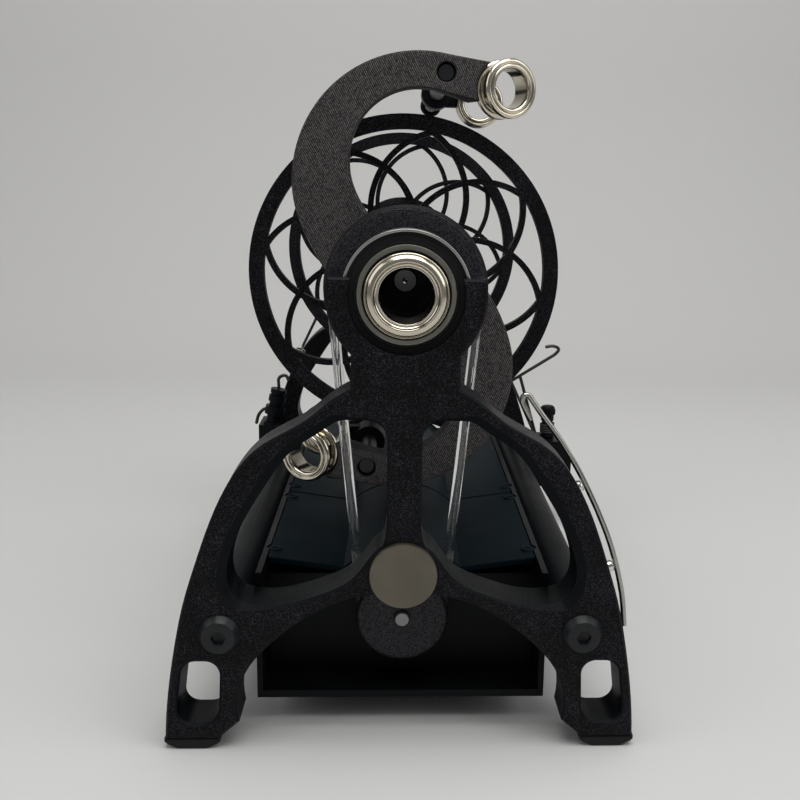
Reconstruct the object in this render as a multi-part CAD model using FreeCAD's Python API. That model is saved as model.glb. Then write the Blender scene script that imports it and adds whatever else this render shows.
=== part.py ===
"""Electric yarn spinner: flyer, bobbin and brake on an A-frame stand with a motor in the base.

Frame: the origin is on the spindle axis, in the front face of the front maiden. +X is to the
right, +Y runs back along the spindle and +Z is up. All lengths are millimetres.
"""
import FreeCAD, Part
import math
import os

from FreeCAD import Vector

# Clearances
RUN_GAP = 0.05          # radial gap of a shaft that turns or slides in its bore
SEAT_GAP = 0.05         # radial gap of a piece that is fixed in its hole
SIDE_GAP = 0.3          # gap between two pieces that pass or lie beside each other

# Stand
MAIDEN_T = 15.0         # thickness of both maidens
RAIL_SPACING = 108.4    # between the two rail centres
RAIL_LIFT = 4.0         # rails above the motor's axis
FLOOR_HEIGHT = 9.2      # underside of the tray above the table
RAIL_D = 15.0
RAIL_SEAT = 3.0         # depth of the rail's seat in each maiden
LEG_OVERHANG = 17.1     # from a rail centre out to the leg's outer corner
PAD_H = 3.6
PAD_TOP_W = 17.0
PAD_BOTTOM_W = 9.0
NECK_HALF = 15.5
STEM_HALF = 5.0
EDGE_BREAK = 0.6        # chamfer along the maidens' edges
SCREW_R = 3.0
SCREW_HEAD_R = 6.3
SCREW_FACE_R = 4.9
SCREW_HEAD_H = 2.6
SCREW_L = 30.0
HEX_R = 2.3

# Front bearing and its saddle
BEARING_OD = 37.0
BEARING_ID = 25.0
BEARING_W = 7.0
BEARING_DEPTH = 2.5     # bearing face behind the maiden's front face
RACE_T = 1.7
SADDLE_WALL = 4.2
SADDLE_LIP = 1.9        # how far the lip covers the outer race
SADDLE_TIP = 5.0        # tips of the open saddle above the axis

# Rear bearing
REAR_BEARING_OD = 22.0
REAR_BEARING_W = 7.0
REAR_RACE_T = 2.2
REAR_POCKET = 4.0       # bearing face behind the rear maiden's front face

# Flyer
ORIFICE_D = 15.6
ORIFICE_WALL = 0.9
LIP_R = 2.0
HUB_FRONT = 1.6
INSERT_L = 13.0
HUB_D = 27.6
HUB_SOLID = 10.0        # solid end of the hub that holds the spindle
PULLEY_Y = 20.0
PULLEY_W = 10.0
FLANGE_T = 2.2
FLANGE_H = 3.6          # flange above the groove floor
DRIVE_PITCH_D = 45.2
BELT_D = 3.2
EXIT_W = 15.0           # width of the yarn exits in the hub
EXIT_L = 13.0
PLATE_Y = 56.0
PLATE_T = 8.0
ARM_RADIUS = 41.5       # outer arc of an arm of the S
ARM_CENTRE = (4.4, 30.6)
ARM_INNER_RADIUS = 22.7
ARM_INNER_CENTRE = (4.2, 38.0)
ARM_OUTER_END = 78.0    # degrees at which the arcs end and the straight tip starts
ARM_INNER_END = 72.0
ARM_TIP_X = 26.5
ROD_D = 6.0
ROD_AT = (12.5, 65.7)
ROD_END_GAP = 3.5       # from a rod's cap to the bobbin's rear face
CAP_T = 5.0
CAP_WALL = 1.8
RING_AT = (31.8, 61.0)
RING_R = 9.4
RING_BORE = 12.0
RING_L = 9.0
RING_WAIST = 1.6
RING_TURN = 26.0        # degrees that a fixed ring faces outwards
SLIDER_Y = 140.0        # upper slider
LOWER_SLIDER_Y = 98.0
SLIDER_L = 12.0
SLIDER_RING_AT = (29.8, 62.4)
SLEEVE_WALL = 3.0
WEB_W = 4.4             # arm between a slider's sleeve and its ring
WEB_H = 5.0
WEB_GRIP = 1.5
SPINDLE_D = 8.0

# Bobbin
BOBBIN_GAP = 8.0        # from the S plate to the bobbin
BOBBIN_D = 107.4
BOBBIN_L = 137.5
DISC_T = 4.0
RIM_W = 5.1
STROKE_W = 2.0
STROKE_T = 3.0
PETALS = 8
PETAL_TURN = 11.8       # degrees
HUB_RING_R = 21.5
CORE_D = 30.0
CORE_WALL = 2.0
BUSH_D = 16.0
BUSH_L = 9.0
WHORL_D = 48.0
WHORL_L = 6.5
WHORL_GROOVE = 2.5
REAR_GAP = 6.0          # from the whorl to the rear maiden

# Motor
MOTOR_DROP = 105.0
MOTOR_D = 36.0
MOTOR_L = 57.0
MOTOR_CAP_L = 6.0
MOTOR_SHAFT_D = 5.0
MOTOR_PITCH_D = 25.6
MOTOR_PLATE_T = 3.0
MOTOR_SCREW_PCD = 25.0
MOTOR_BOSS_R = 6.5
MOTOR_SCREW_R = 1.5
MOTOR_SCREW_HEAD_R = 2.6
SINK = 1.6              # depth of the sunk screw heads

# Base
RAIL_CLEARANCE = 1.2    # from the tray's walls to the rails
TRAY_WALL = 1.8
TRAY_FLOOR_T = 2.4
MOTOR_FLOOR_GAP = 4.1   # from the motor can to the tray's floor
MOTOR_COVER_GAP = 0.8   # from the motor can to the cover's hump
LEDGE_W = 3.0
COVER_T = 2.0
COVER_FRONT_Y = 30.0
COVER_JOINT_Y = 100.0
JOINT_GAP = 0.8
COVER_EDGE_FALL = 3.8   # outer edge of a cover below the top of its hump
COVER_INNER_FALL = 7.3  # foot of the hump below its top
COVER_SINK = 0.5        # a cover's outer edge below the tray's rim
HUMP_HALF = 19.0
CLIP_W = 12.0
CLIP_T = 1.8
CABLE_GAP = 7.0         # top of the tray's rear wall below its rim
BOARD_X = (-32.0, 30.0)
BOARD_Y = (140.0, 190.0)
BOARD_T = 1.6
BOARD_LIFT = 5.0
BOARD_INSET = 4.0
BOARD_POST_R = 3.0
BOARD_SCREW_R = 1.25
COVER_SCREW_R = 1.2
COVER_SCREW_HEAD_R = 2.6
COVER_SCREW_HEAD_H = 1.2
COVER_SCREW_INSET = 1.6 # from the tray wall's inner face

# Controls in the rear wall
CONTROL_FALL = 25.5     # below the tray's rim
KNOB_D = 18.0
KNOB_L = 11.0
KNOB_X = 25.0
KNOB_SWEEP = 300.0      # degrees from off to full speed
SWITCH_W = 12.0
SWITCH_H = 19.0
POWER_X = -28.0
DIRECTION_X = -6.0
INLET_X = 8.5
INLET_D = 8.0
POT_R = 8.0
POT_L = 9.0
POT_BUSH_R = 3.5
DIAL_SHAFT_R = 2.0
ROCKER_TILT = 8.0
ROCKER_END_GAP = 0.8
PIVOT_R = 0.9
PIVOT_L = 0.8

# Magnets and threading hook
MAGNET_D = 20.0
MAGNET_T = 3.0
MAGNET_PROUD = 1.6
MAGNET_DROP = 82.0
WIRE_D = 1.7
PIN_D = 3.6
PIN_L = 6.0
PIN_GAP = 0.2           # from a pin to the hook's wire

# Brake
CORD_D = 1.6
BRAKE_WIRE_D = 1.6
SPRING_D = 5.0
SPRING_L = 16.0
CORD_HOOK = (0.7700, 0.4634)            # in the shares used for the maidens' outline
CORD_ASIDE = 5.6        # from the tension knob's stem to the cord's hole
CORD_TAIL = 3.0         # of the cord inside the block
TENSION_POST = (1.0449, 0.6958)         # middle of the block's top, in the same shares
ANCHOR_FOOT = (0.9046, 0.6810)
ANCHOR_HEAD = (0.8443, 0.5218)
ANCHOR_BRACKET = ((0.9818, 0.7180), (0.8345, 0.6514))
ANCHOR_R = 3.4
ANCHOR_COLLARS = ((4.6, 3.0, 0.09), (4.9, 4.0, 0.41), (4.2, 3.0, 0.707), (3.9, 2.2, 0.9))
UPPER_HOOK = ((0.8443, 0.5270), (0.8499, 0.4782), (0.7938, 0.4678), (0.7770, 0.4915))
LOWER_HOOK = ((0.8780, 0.5966), (0.9453, 0.5936), (0.9902, 0.6173), (1.0070, 0.6543))
WIRE_ARM = ((0.7097, 0.5226), (1.1024, 0.3908), (1.1332, 0.3701), (1.0856, 0.3583), (1.0266, 0.3642))
STRUT_HEAD = (0.8555, 0.4782)
STRUT_INSET = 4.6       # from the strut's foot to the inner face of the block
STRUT_DEPTH = 3.0
BLOCK_W = 17.0
BLOCK_H = 23.0
BLOCK_L = 20.0
TENSION_KNOB_D = 8.0
KNOB_STEM_R = 2.6

# Worked out from the sizes above
RAIL_X = RAIL_SPACING / 2
RAIL_DROP = MOTOR_DROP - RAIL_LIFT
TRAY_FLOOR_DROP = MOTOR_DROP + MOTOR_D / 2 + MOTOR_FLOOR_GAP + TRAY_FLOOR_T
AXIS_HEIGHT = TRAY_FLOOR_DROP + FLOOR_HEIGHT
LEG_DROP = AXIS_HEIGHT - PAD_H
FOOT_HALF = RAIL_X + LEG_OVERHANG
BOBBIN_Y = PLATE_Y + PLATE_T + BOBBIN_GAP
BOBBIN_END = BOBBIN_Y + BOBBIN_L
WHORL_END = BOBBIN_END + WHORL_L
REAR_Y = WHORL_END + REAR_GAP
RIM_R = BOBBIN_D / 2
CORD_Y = BOBBIN_END + WHORL_L / 2
PULLEY_FLOOR_R = DRIVE_PITCH_D / 2 - BELT_D / 2
MOTOR_FLOOR_R = MOTOR_PITCH_D / 2 - BELT_D / 2
BELT_Y = PULLEY_Y + PULLEY_W / 2
BEARING_R = BEARING_OD / 2
REAR_BEARING_R = REAR_BEARING_OD / 2
HUB_R = HUB_D / 2
SPINDLE_R = SPINDLE_D / 2
ROD_R = ROD_D / 2
RAIL_R = RAIL_D / 2
TRAY_HALF = RAIL_X - RAIL_R - RAIL_CLEARANCE
TRAY_FLOOR_Z = -TRAY_FLOOR_DROP
HUMP_DROP = MOTOR_DROP - MOTOR_D / 2 - MOTOR_COVER_GAP - COVER_T
COVER_EDGE_DROP = HUMP_DROP + COVER_EDGE_FALL
COVER_INNER_DROP = HUMP_DROP + COVER_INNER_FALL
TRAY_TOP = COVER_EDGE_DROP - COVER_SINK
CABLE_WALL_TOP = TRAY_TOP + CABLE_GAP
CONTROL_DROP = TRAY_TOP + CONTROL_FALL
PLATE_BACK = COVER_FRONT_Y + MOTOR_PLATE_T
CONTROL_Z = -CONTROL_DROP
REAR_WALL_Y = REAR_Y - TRAY_WALL
COVER_SCREW_X = TRAY_HALF - TRAY_WALL - COVER_SCREW_INSET
COVER_SCREW_Y = (PLATE_BACK + 5.0, COVER_JOINT_Y - 6.0, COVER_JOINT_Y + 8.0, REAR_WALL_Y - 6.0)
RING_Y = PLATE_Y + 3.0
YOKE_Y = PLATE_Y - HUB_SOLID - EXIT_L
TENSION_POST_X = TENSION_POST[0] * FOOT_HALF
TENSION_TOP = TENSION_POST[1] * LEG_DROP
STRUT_FOOT_X = TENSION_POST_X - BLOCK_W / 2 + STRUT_INSET

# Outline of a maiden: (share of the foot's half width, share of the leg's drop)
LEG_OUTER = ((0.296, 0.220), (0.404, 0.266), (0.579, 0.3205), (0.732, 0.423), (0.8485, 0.577),
             (0.909, 0.679), (0.948, 0.7735), (0.997, 0.967))
ARCH = ((0.687, 0.958), (0.645, 0.829), (0.526, 0.759), (0.2665, 0.6736))
ARCH_TOP = 0.651
WINDOW = ((0.224, 0.263), (0.337, 0.290), (0.440, 0.326), (0.546, 0.396), (0.652, 0.4885),
          (0.718, 0.575), (0.7265, 0.6255), (0.694, 0.663), (0.603, 0.681), (0.488, 0.678),
          (0.3366, 0.6536), (0.203, 0.614), (0.118, 0.555), (0.0765, 0.48))
LEG_WINDOW = ((0.7616, 0.8127), (0.920, 0.8127), (0.9565, 0.961), (0.774, 0.961))
LEG_WINDOW_R = 4.5
NECK_DROP = 0.195
LEG_INNER = 0.78        # inner corner of the leg's bottom, a share of the foot's half width

# Route of the threading hook, in the same shares, from its hairpin down
HOOK_ROUTE = ((0.518, 0.2709), (0.478, 0.2295), (0.482, 0.2161), (0.505, 0.2139), (0.561, 0.2561),
              (0.630, 0.3027), (0.727, 0.3819), (0.811, 0.4693), (0.872, 0.5426), (0.914, 0.6114),
              (0.945, 0.6810), (0.959, 0.7513))
HOOK_Y = 7.0
HOOK_PINS = ((6, 0.35), (8, 0.85))      # (run of the route, share along it)

X_AXIS = Vector(1, 0, 0)
Y_AXIS = Vector(0, 1, 0)
Z_AXIS = Vector(0, 0, 1)


def drum(radius, y0, y1, x=0.0, z=0.0):
    """Cylinder along Y from y0 to y1."""
    return Part.makeCylinder(radius, y1 - y0, Vector(x, y0, z), Y_AXIS)


def pipe(outer, inner, y0, y1, x=0.0, z=0.0):
    """Tube along Y from y0 to y1."""
    return drum(outer, y0, y1, x, z).cut(drum(inner, y0 - 1, y1 + 1, x, z))


def block(x0, x1, y0, y1, z0, z1):
    """Box between two corners."""
    return Part.makeBox(x1 - x0, y1 - y0, z1 - z0, Vector(x0, y0, z0))


def fuse(shapes):
    """One solid from several that touch."""
    return shapes[0].multiFuse(list(shapes[1:])).removeSplitter()


def group(shapes):
    """Separate solids in one node."""
    return Part.makeCompound(list(shapes))


def mirror_x(shape):
    """Copy on the other side of the plane x = 0."""
    return shape.mirror(Vector(0, 0, 0), Vector(1, 0, 0))


def half_turn(shape):
    """Copy turned by half a turn about the spindle axis."""
    turned = shape.copy()
    turned.rotate(Vector(0, 0, 0), Y_AXIS, 180)
    return turned


def lathe(points):
    """Solid of revolution about Y from (radius, y) points."""
    corners = [Vector(r, y, 0) for r, y in points]
    wire = Part.makePolygon(corners + [corners[0]])
    return Part.Face(wire).revolve(Vector(0, 0, 0), Y_AXIS, 360)


def spline(points, start=None, end=None):
    """Smooth edge through points, with its end directions where they are given."""
    curve = Part.BSplineCurve()
    if start is None:
        curve.interpolate(points)
    else:
        curve.interpolate(Points=points, InitialTangent=start, FinalTangent=end)
    return curve.toShape()


def line(a, b):
    """Straight edge."""
    return Part.LineSegment(a, b).toShape()


def at(x, z, y=0.0):
    """Point in a plane across the spindle."""
    return Vector(x, y, z)


def spot(across, down):
    """Point on a maiden from shares of the foot's half width and of the leg's drop."""
    return at(across * FOOT_HALF, -down * LEG_DROP)


def left_spot(shares, y):
    """Point left of the spindle from the shares of a maiden's size."""
    point = spot(*shares)
    return at(-point.x, point.z, y)


def plate(edges, y0, thickness):
    """Plate from closed edges drawn in the plane y = 0."""
    face = Part.Face(Part.Wire(Part.__sortEdges__(edges)))
    solid = face.extrude(Vector(0, thickness, 0))
    solid.translate(Vector(0, y0, 0))
    return solid


def rounded(points, radius, y0, thickness):
    """Plate with the given (x, z) corners, each rounded."""
    corners = [at(x, z) for x, z in points]
    solid = Part.Face(Part.makePolygon(corners + [corners[0]])).extrude(Vector(0, thickness, 0))
    solid.translate(Vector(0, y0, 0))
    upright = [e for e in solid.Edges if abs(e.BoundBox.YLength - thickness) < 1e-6]
    return solid.makeFillet(radius, upright)


def wire_rod(points, radius):
    """Bent wire through points: straight runs joined by tangent arcs, with the radii returned."""
    edges = []
    radii = []
    start = points[0]
    for before, corner, after in zip(points, points[1:], points[2:]):
        back = (before - corner)
        ahead = (after - corner)
        turn = math.pi - back.getAngle(ahead)
        share = 0.45 * min(back.Length, ahead.Length)
        radii.append(share / math.tan(turn / 2))
        back.normalize()
        ahead.normalize()
        arc_in = corner + back * share
        arc_out = corner + ahead * share
        middle = back + ahead
        middle.normalize()
        bend = radii[-1]
        centre = corner + middle * (bend / math.cos(turn / 2))
        edges.append(line(start, arc_in))
        edges.append(Part.Arc(arc_in, centre - middle * bend, arc_out).toShape())
        start = arc_out
    edges.append(line(start, points[-1]))
    path = Part.Wire(edges)
    first = points[1] - points[0]
    section = Part.Wire(Part.Circle(points[0], first, radius).toShape())
    return path.makePipeShell([section], True, True), radii


def edge_break(solid, y, size):
    """Chamfer the edges that lie in the plane at y."""
    rim = [e for e in solid.Edges if e.BoundBox.YLength < 1e-6 and abs(e.BoundBox.YMin - y) < 1e-6]
    return solid.makeChamfer(size, rim)


# ---------------------------------------------------------------- stand


def maiden_body(saddle_outer):
    """A-shaped plate at y = 0 with a saddle blank round the spindle, without its windows."""
    sides = []
    shoulder = math.sqrt(saddle_outer ** 2 - NECK_HALF ** 2)
    tip = math.sqrt(saddle_outer ** 2 - SADDLE_TIP ** 2)
    lean = math.atan2(SADDLE_TIP - shoulder, tip + NECK_HALF)
    for sign in (1, -1):
        def side(across, down):
            point = spot(across, down)
            return at(sign * point.x, point.z)
        neck_top = at(sign * NECK_HALF, -shoulder)
        neck_low = at(sign * NECK_HALF, -NECK_DROP * LEG_DROP)
        foot = side(1.0, 1.0)
        inner = side(LEG_INNER, 1.0)
        middle = at(sign * saddle_outer * math.cos(lean), saddle_outer * math.sin(lean))
        sides.append(Part.Arc(at(sign * tip, SADDLE_TIP), middle, neck_top).toShape())
        sides.append(line(neck_top, neck_low))
        sides.append(spline([neck_low] + [side(*p) for p in LEG_OUTER] + [foot]))
        sides.append(line(foot, inner))
        sides.append(line(inner, side(*ARCH[0])))
    arch = [spot(*p) for p in ARCH]
    mirrored = [at(-p.x, p.z) for p in reversed(arch)]
    sides.append(spline(arch + [spot(0, ARCH_TOP)] + mirrored))
    sides.append(line(at(tip, SADDLE_TIP), at(-tip, SADDLE_TIP)))
    return broken_edges(plate(sides, 0, MAIDEN_T))


def broken_edges(solid):
    """Plate as thick as a maiden with the edges of both faces chamfered."""
    return edge_break(edge_break(solid, 0, EDGE_BREAK), MAIDEN_T, EDGE_BREAK)


def flared(edges):
    """Cutters for a hole through a maiden with chamfered rims, from the hole's edges."""
    wide = Part.Wire(Part.__sortEdges__(edges)).makeOffset2D(EDGE_BREAK)
    front = edge_break(plate(wide.Edges, -1, 1 + EDGE_BREAK), EDGE_BREAK, EDGE_BREAK)
    end = [f for f in front.Faces if f.BoundBox.YLength < 1e-6 and abs(f.BoundBox.YMin - EDGE_BREAK) < 1e-6][0]
    middle = end.extrude(Vector(0, MAIDEN_T - 2 * EDGE_BREAK, 0))
    back = front.mirror(Vector(0, MAIDEN_T / 2, 0), Y_AXIS)
    return [middle, front, back]


def window_edges():
    """Edges of the window right of the stem."""
    top = spot(*WINDOW[0])
    low = at(STEM_HALF, spot(*WINDOW[-1]).z)
    corner_r = 6.0
    return [spline([spot(*p) for p in WINDOW[:-1]] + [low], at(1, 0), at(0, 1)),
            line(low, at(STEM_HALF, top.z - corner_r)),
            Part.Arc(at(STEM_HALF, top.z - corner_r),
                     at(STEM_HALF + corner_r * 0.293, top.z - corner_r * 0.293),
                     at(STEM_HALF + corner_r, top.z)).toShape(),
            line(at(STEM_HALF + corner_r, top.z), top)]


def leg_window_edges():
    """Edges of the window in the right leg."""
    corners = [(spot(*p).x, spot(*p).z) for p in LEG_WINDOW]
    slab = rounded(corners, LEG_WINDOW_R, 0, 1)
    return [e for e in slab.Edges if e.BoundBox.YLength < 1e-6 and e.BoundBox.YMin < 1e-6]


def maiden(saddle_outer, extra_boss):
    """Maiden plate with a saddle blank, windows and rail holes, at y = 0."""
    solid = maiden_body(saddle_outer)
    if extra_boss:
        solid = fuse([solid, broken_edges(drum(MAGNET_D / 2 + 0.6, 0, MAIDEN_T, 0, -MAGNET_DROP))])
    cutters = flared(window_edges()) + flared(leg_window_edges())
    return solid.cut(cutters + [mirror_x(c) for c in cutters])


def rail_holes(seat_y0):
    """Screw holes through a maiden and the rails' seats, for the maiden at y = 0."""
    cutters = []
    for x in (-RAIL_X, RAIL_X):
        cutters.append(drum(SCREW_R + SIDE_GAP, -1, MAIDEN_T + 1, x, -RAIL_DROP))
        cutters.append(drum(RAIL_R + SEAT_GAP, seat_y0, seat_y0 + RAIL_SEAT + 1, x, -RAIL_DROP))
    return group(cutters)


def front_maiden():
    """Front maiden with the front bearing's pocket and the parking magnet's pocket."""
    solid = maiden(BEARING_R + SADDLE_WALL, True)
    pocket_end = BEARING_DEPTH + BEARING_W + SEAT_GAP
    solid = solid.cut(drum(BEARING_R + SEAT_GAP, BEARING_DEPTH - SEAT_GAP, pocket_end))
    solid = solid.cut(drum(BEARING_R - SADDLE_LIP, -1, MAIDEN_T + 1))
    solid = solid.cut(rail_holes(MAIDEN_T - RAIL_SEAT))
    magnet_floor = MAGNET_T - MAGNET_PROUD
    solid = solid.cut(drum(MAGNET_D / 2 + SEAT_GAP, -1, magnet_floor, 0, -MAGNET_DROP))
    return solid.cut(group(hook_pin(p, SEAT_GAP) for p in HOOK_PINS))


def rear_maiden():
    """Rear maiden with the rear bearing's pocket."""
    solid = maiden(NECK_HALF, False)
    start = REAR_POCKET
    solid = solid.cut(drum(REAR_BEARING_R + SEAT_GAP, start - SEAT_GAP, start + REAR_BEARING_W + SEAT_GAP))
    solid = solid.cut(drum(REAR_BEARING_R - REAR_RACE_T + 0.4, -1, MAIDEN_T + 1))
    cutters = []
    for x in (-RAIL_X, RAIL_X):
        cutters.append(drum(SCREW_R + SIDE_GAP, -1, MAIDEN_T + 1, x, -RAIL_DROP))
        cutters.append(drum(RAIL_R + SEAT_GAP, -1, RAIL_SEAT, x, -RAIL_DROP))
    solid = solid.cut(group(cutters))
    solid.translate(Vector(0, REAR_Y, 0))
    return solid


def rail(sign):
    """Rail rod with a tapped hole in each end."""
    y0 = MAIDEN_T - RAIL_SEAT
    y1 = REAR_Y + RAIL_SEAT
    x = sign * RAIL_X
    hole = SCREW_L - y0 + 2
    solid = drum(RAIL_R, y0, y1, x, -RAIL_DROP)
    solid = solid.cut(drum(SCREW_R + SEAT_GAP, y0 - 1, y0 + hole, x, -RAIL_DROP))
    return solid.cut(drum(SCREW_R + SEAT_GAP, y1 - hole, y1 + 1, x, -RAIL_DROP))


def rail_screw(sign, front):
    """Low cone-headed screw with a hex socket, through a maiden into a rail."""
    head = lathe([(0, -SCREW_HEAD_H), (SCREW_FACE_R, -SCREW_HEAD_H), (SCREW_HEAD_R, 0),
                  (SCREW_R, 0), (SCREW_R, SCREW_L), (0, SCREW_L)])
    socket = Part.Face(Part.makePolygon(
        [at(HEX_R * math.cos(math.radians(60 * k)), HEX_R * math.sin(math.radians(60 * k)),
            -SCREW_HEAD_H - 1) for k in range(7)])).extrude(Vector(0, 1 + 0.8 * SCREW_HEAD_H, 0))
    screw = head.cut(socket)
    if not front:
        screw.rotate(Vector(0, 0, 0), Z_AXIS, 180)
        screw.translate(Vector(0, REAR_Y + MAIDEN_T, 0))
    screw.translate(Vector(sign * RAIL_X, 0, -RAIL_DROP))
    return screw


def foot_pad(sign, y0):
    """Rubber foot under a leg, narrower at the bottom."""
    centre = sign * (FOOT_HALF * (1 + LEG_INNER) / 2)
    top = -LEG_DROP
    low = -AXIS_HEIGHT
    corners = [(centre - PAD_TOP_W / 2, top), (centre + PAD_TOP_W / 2, top),
               (centre + PAD_BOTTOM_W / 2, low), (centre - PAD_BOTTOM_W / 2, low)]
    return rounded(corners, 0.8, y0 + EDGE_BREAK, MAIDEN_T - 2 * EDGE_BREAK)


def bearing(outer_r, inner_r, width, race_t, y0):
    """Outer race, inner race, seals and balls of a ball bearing that starts at y0."""
    gap_r = (outer_r - race_t + inner_r + race_t) / 2
    ball_r = (outer_r - inner_r - 2 * race_t) / 2 * 1.25
    middle = y0 + width / 2
    groove = Part.makeTorus(gap_r, ball_r + RUN_GAP, Vector(0, middle, 0), Y_AXIS)
    outer = pipe(outer_r, outer_r - race_t, y0, y0 + width).cut(groove)
    inner = pipe(inner_r + race_t, inner_r, y0, y0 + width).cut(groove)
    seal_t = 0.5
    recess = 0.3
    seals = [pipe(outer_r - race_t, inner_r + race_t + 0.1, a, a + seal_t)
             for a in (y0 + recess, y0 + width - recess - seal_t)]
    count = int(2 * math.pi * gap_r / (2.3 * ball_r))
    balls = [Part.makeSphere(ball_r, Vector(gap_r * math.cos(2 * math.pi * k / count), middle,
                                            gap_r * math.sin(2 * math.pi * k / count)))
             for k in range(count)]
    return outer, inner, seals, balls


# ---------------------------------------------------------------- base


def base_tray():
    """Floor of the base with the board's posts and the rear wall that holds the controls."""
    y0 = MAIDEN_T
    y1 = REAR_Y
    inner = TRAY_HALF - TRAY_WALL
    floor_top = TRAY_FLOOR_Z + TRAY_FLOOR_T
    parts = [block(-inner, inner, y0, y1, TRAY_FLOOR_Z, floor_top),
             block(-inner, inner, REAR_WALL_Y, y1, TRAY_FLOOR_Z, -CABLE_WALL_TOP)]
    for x, y in board_posts():
        parts.append(Part.makeCylinder(BOARD_POST_R, BOARD_LIFT, Vector(x, y, floor_top), Z_AXIS))
    solid = fuse(parts)
    cutters = [drum(POT_BUSH_R + SEAT_GAP, REAR_WALL_Y - 1, y1 + 1, KNOB_X, CONTROL_Z),
               drum(INLET_D / 2 + 1 + SEAT_GAP, REAR_WALL_Y - 1, y1 + 1, INLET_X, CONTROL_Z)]
    for x in (POWER_X, DIRECTION_X):
        cutters.append(block(x - SWITCH_W / 2 + 1, x + SWITCH_W / 2 - 1, REAR_WALL_Y - 1, y1 + 1,
                             CONTROL_Z - SWITCH_H / 2 + 1, CONTROL_Z + SWITCH_H / 2 - 1))
    for x, y in board_posts():
        cutters.append(Part.makeCylinder(BOARD_SCREW_R, BOARD_LIFT + 1, Vector(x, y, floor_top), Z_AXIS))
    return solid.cut(group(cutters))


def tray_wall():
    """Right side wall of the base with the covers' ledge and two clips under the rail."""
    inner = TRAY_HALF - TRAY_WALL
    parts = [block(inner, TRAY_HALF, MAIDEN_T, REAR_Y, TRAY_FLOOR_Z, -TRAY_TOP)]
    ledge_top = -(COVER_EDGE_DROP + COVER_T + cover_fall(LEDGE_W))
    parts.append(block(inner - LEDGE_W, inner, PLATE_BACK, REAR_WALL_Y, ledge_top - LEDGE_W, ledge_top))
    for clip_y in (COVER_FRONT_Y + CLIP_W, REAR_Y - 3 * CLIP_W):
        clip = pipe(RAIL_R + SIDE_GAP + CLIP_T, RAIL_R + SIDE_GAP, clip_y, clip_y + CLIP_W, RAIL_X, -RAIL_DROP)
        keep = block(inner, RAIL_X, clip_y - 1, clip_y + CLIP_W + 1, -RAIL_DROP - RAIL_D, -RAIL_DROP)
        parts.append(clip.common(keep))
    return fuse(parts)


def board_posts():
    """Places of the controller board's four posts."""
    return [(x, y) for x in (BOARD_X[0] + BOARD_INSET, BOARD_X[1] - BOARD_INSET)
            for y in (BOARD_Y[0] + BOARD_INSET, BOARD_Y[1] - BOARD_INSET)]


def cover_fall(inward):
    """How far the cover's top has dropped at a distance in from its edge."""
    run = TRAY_HALF - TRAY_WALL - HUMP_HALF
    return (COVER_INNER_DROP - COVER_EDGE_DROP) * inward / run


def cover(y0, y1):
    """Cover with two slopes and a rounded hump over the motor."""
    edge = TRAY_HALF - TRAY_WALL - SIDE_GAP
    lower = COVER_T
    outer_top = at(edge, -COVER_EDGE_DROP)
    outer_low = at(edge, -COVER_EDGE_DROP - lower)
    inner_top = at(HUMP_HALF, -COVER_INNER_DROP)
    inner_low = at(HUMP_HALF - 0.6 * lower, -COVER_INNER_DROP - lower)

    def flip(p):
        return at(-p.x, p.z)

    edges = [line(outer_top, inner_top),
             Part.Arc(inner_top, at(0, -HUMP_DROP), flip(inner_top)).toShape(),
             line(flip(inner_top), flip(outer_top)),
             line(flip(outer_top), flip(outer_low)),
             line(flip(outer_low), flip(inner_low)),
             Part.Arc(flip(inner_low), at(0, -HUMP_DROP - lower), inner_low).toShape(),
             line(inner_low, outer_low),
             line(outer_low, outer_top)]
    return plate(edges, y0, y1 - y0)


def cover_screws():
    """Small screws that hold both covers to the ledges."""
    screws = []
    length = 6.0
    for x in (-COVER_SCREW_X, COVER_SCREW_X):
        for y in COVER_SCREW_Y:
            drop = COVER_EDGE_DROP + cover_fall(TRAY_HALF - TRAY_WALL - COVER_SCREW_X)
            head = Part.makeCylinder(COVER_SCREW_HEAD_R, COVER_SCREW_HEAD_H, Vector(x, y, -drop), Z_AXIS)
            shank = Part.makeCylinder(COVER_SCREW_R, length, Vector(x, y, -drop - length + 0.6), Z_AXIS)
            slot = block(x - 1.6, x + 1.6, y - 0.4, y + 0.4, -drop + 0.6, -drop + 2)
            screws.append(fuse([head, shank]).cut(slot))
    return screws


def screw_holes(gap):
    """Holes for the covers' screws."""
    holes = []
    for x in (-COVER_SCREW_X, COVER_SCREW_X):
        for y in COVER_SCREW_Y:
            drop = COVER_EDGE_DROP + cover_fall(TRAY_HALF - TRAY_WALL - COVER_SCREW_X)
            holes.append(Part.makeCylinder(COVER_SCREW_R + gap, 9, Vector(x, y, -drop - 8.4), Z_AXIS))
            holes.append(Part.makeCylinder(COVER_SCREW_HEAD_R + gap, 4, Vector(x, y, -drop), Z_AXIS))
    return group(holes)


def motor_plate():
    """Front wall of the base that carries the motor."""
    half = TRAY_HALF - TRAY_WALL - SIDE_GAP
    floor = TRAY_FLOOR_Z + TRAY_FLOOR_T
    solid = block(-half, half, COVER_FRONT_Y, PLATE_BACK, floor, -COVER_INNER_DROP - COVER_T - 0.2)
    solid = solid.cut(drum(MOTOR_BOSS_R + SEAT_GAP, COVER_FRONT_Y - 1, PLATE_BACK + 1, 0, -MOTOR_DROP))
    holes = []
    for x in (-MOTOR_SCREW_PCD / 2, MOTOR_SCREW_PCD / 2):
        holes.append(drum(MOTOR_SCREW_R + SEAT_GAP, COVER_FRONT_Y - 1, PLATE_BACK + 1, x, -MOTOR_DROP))
        holes.append(drum(MOTOR_SCREW_HEAD_R + SEAT_GAP, COVER_FRONT_Y - 1, COVER_FRONT_Y + SINK, x, -MOTOR_DROP))
    return solid.cut(group(holes))


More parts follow.
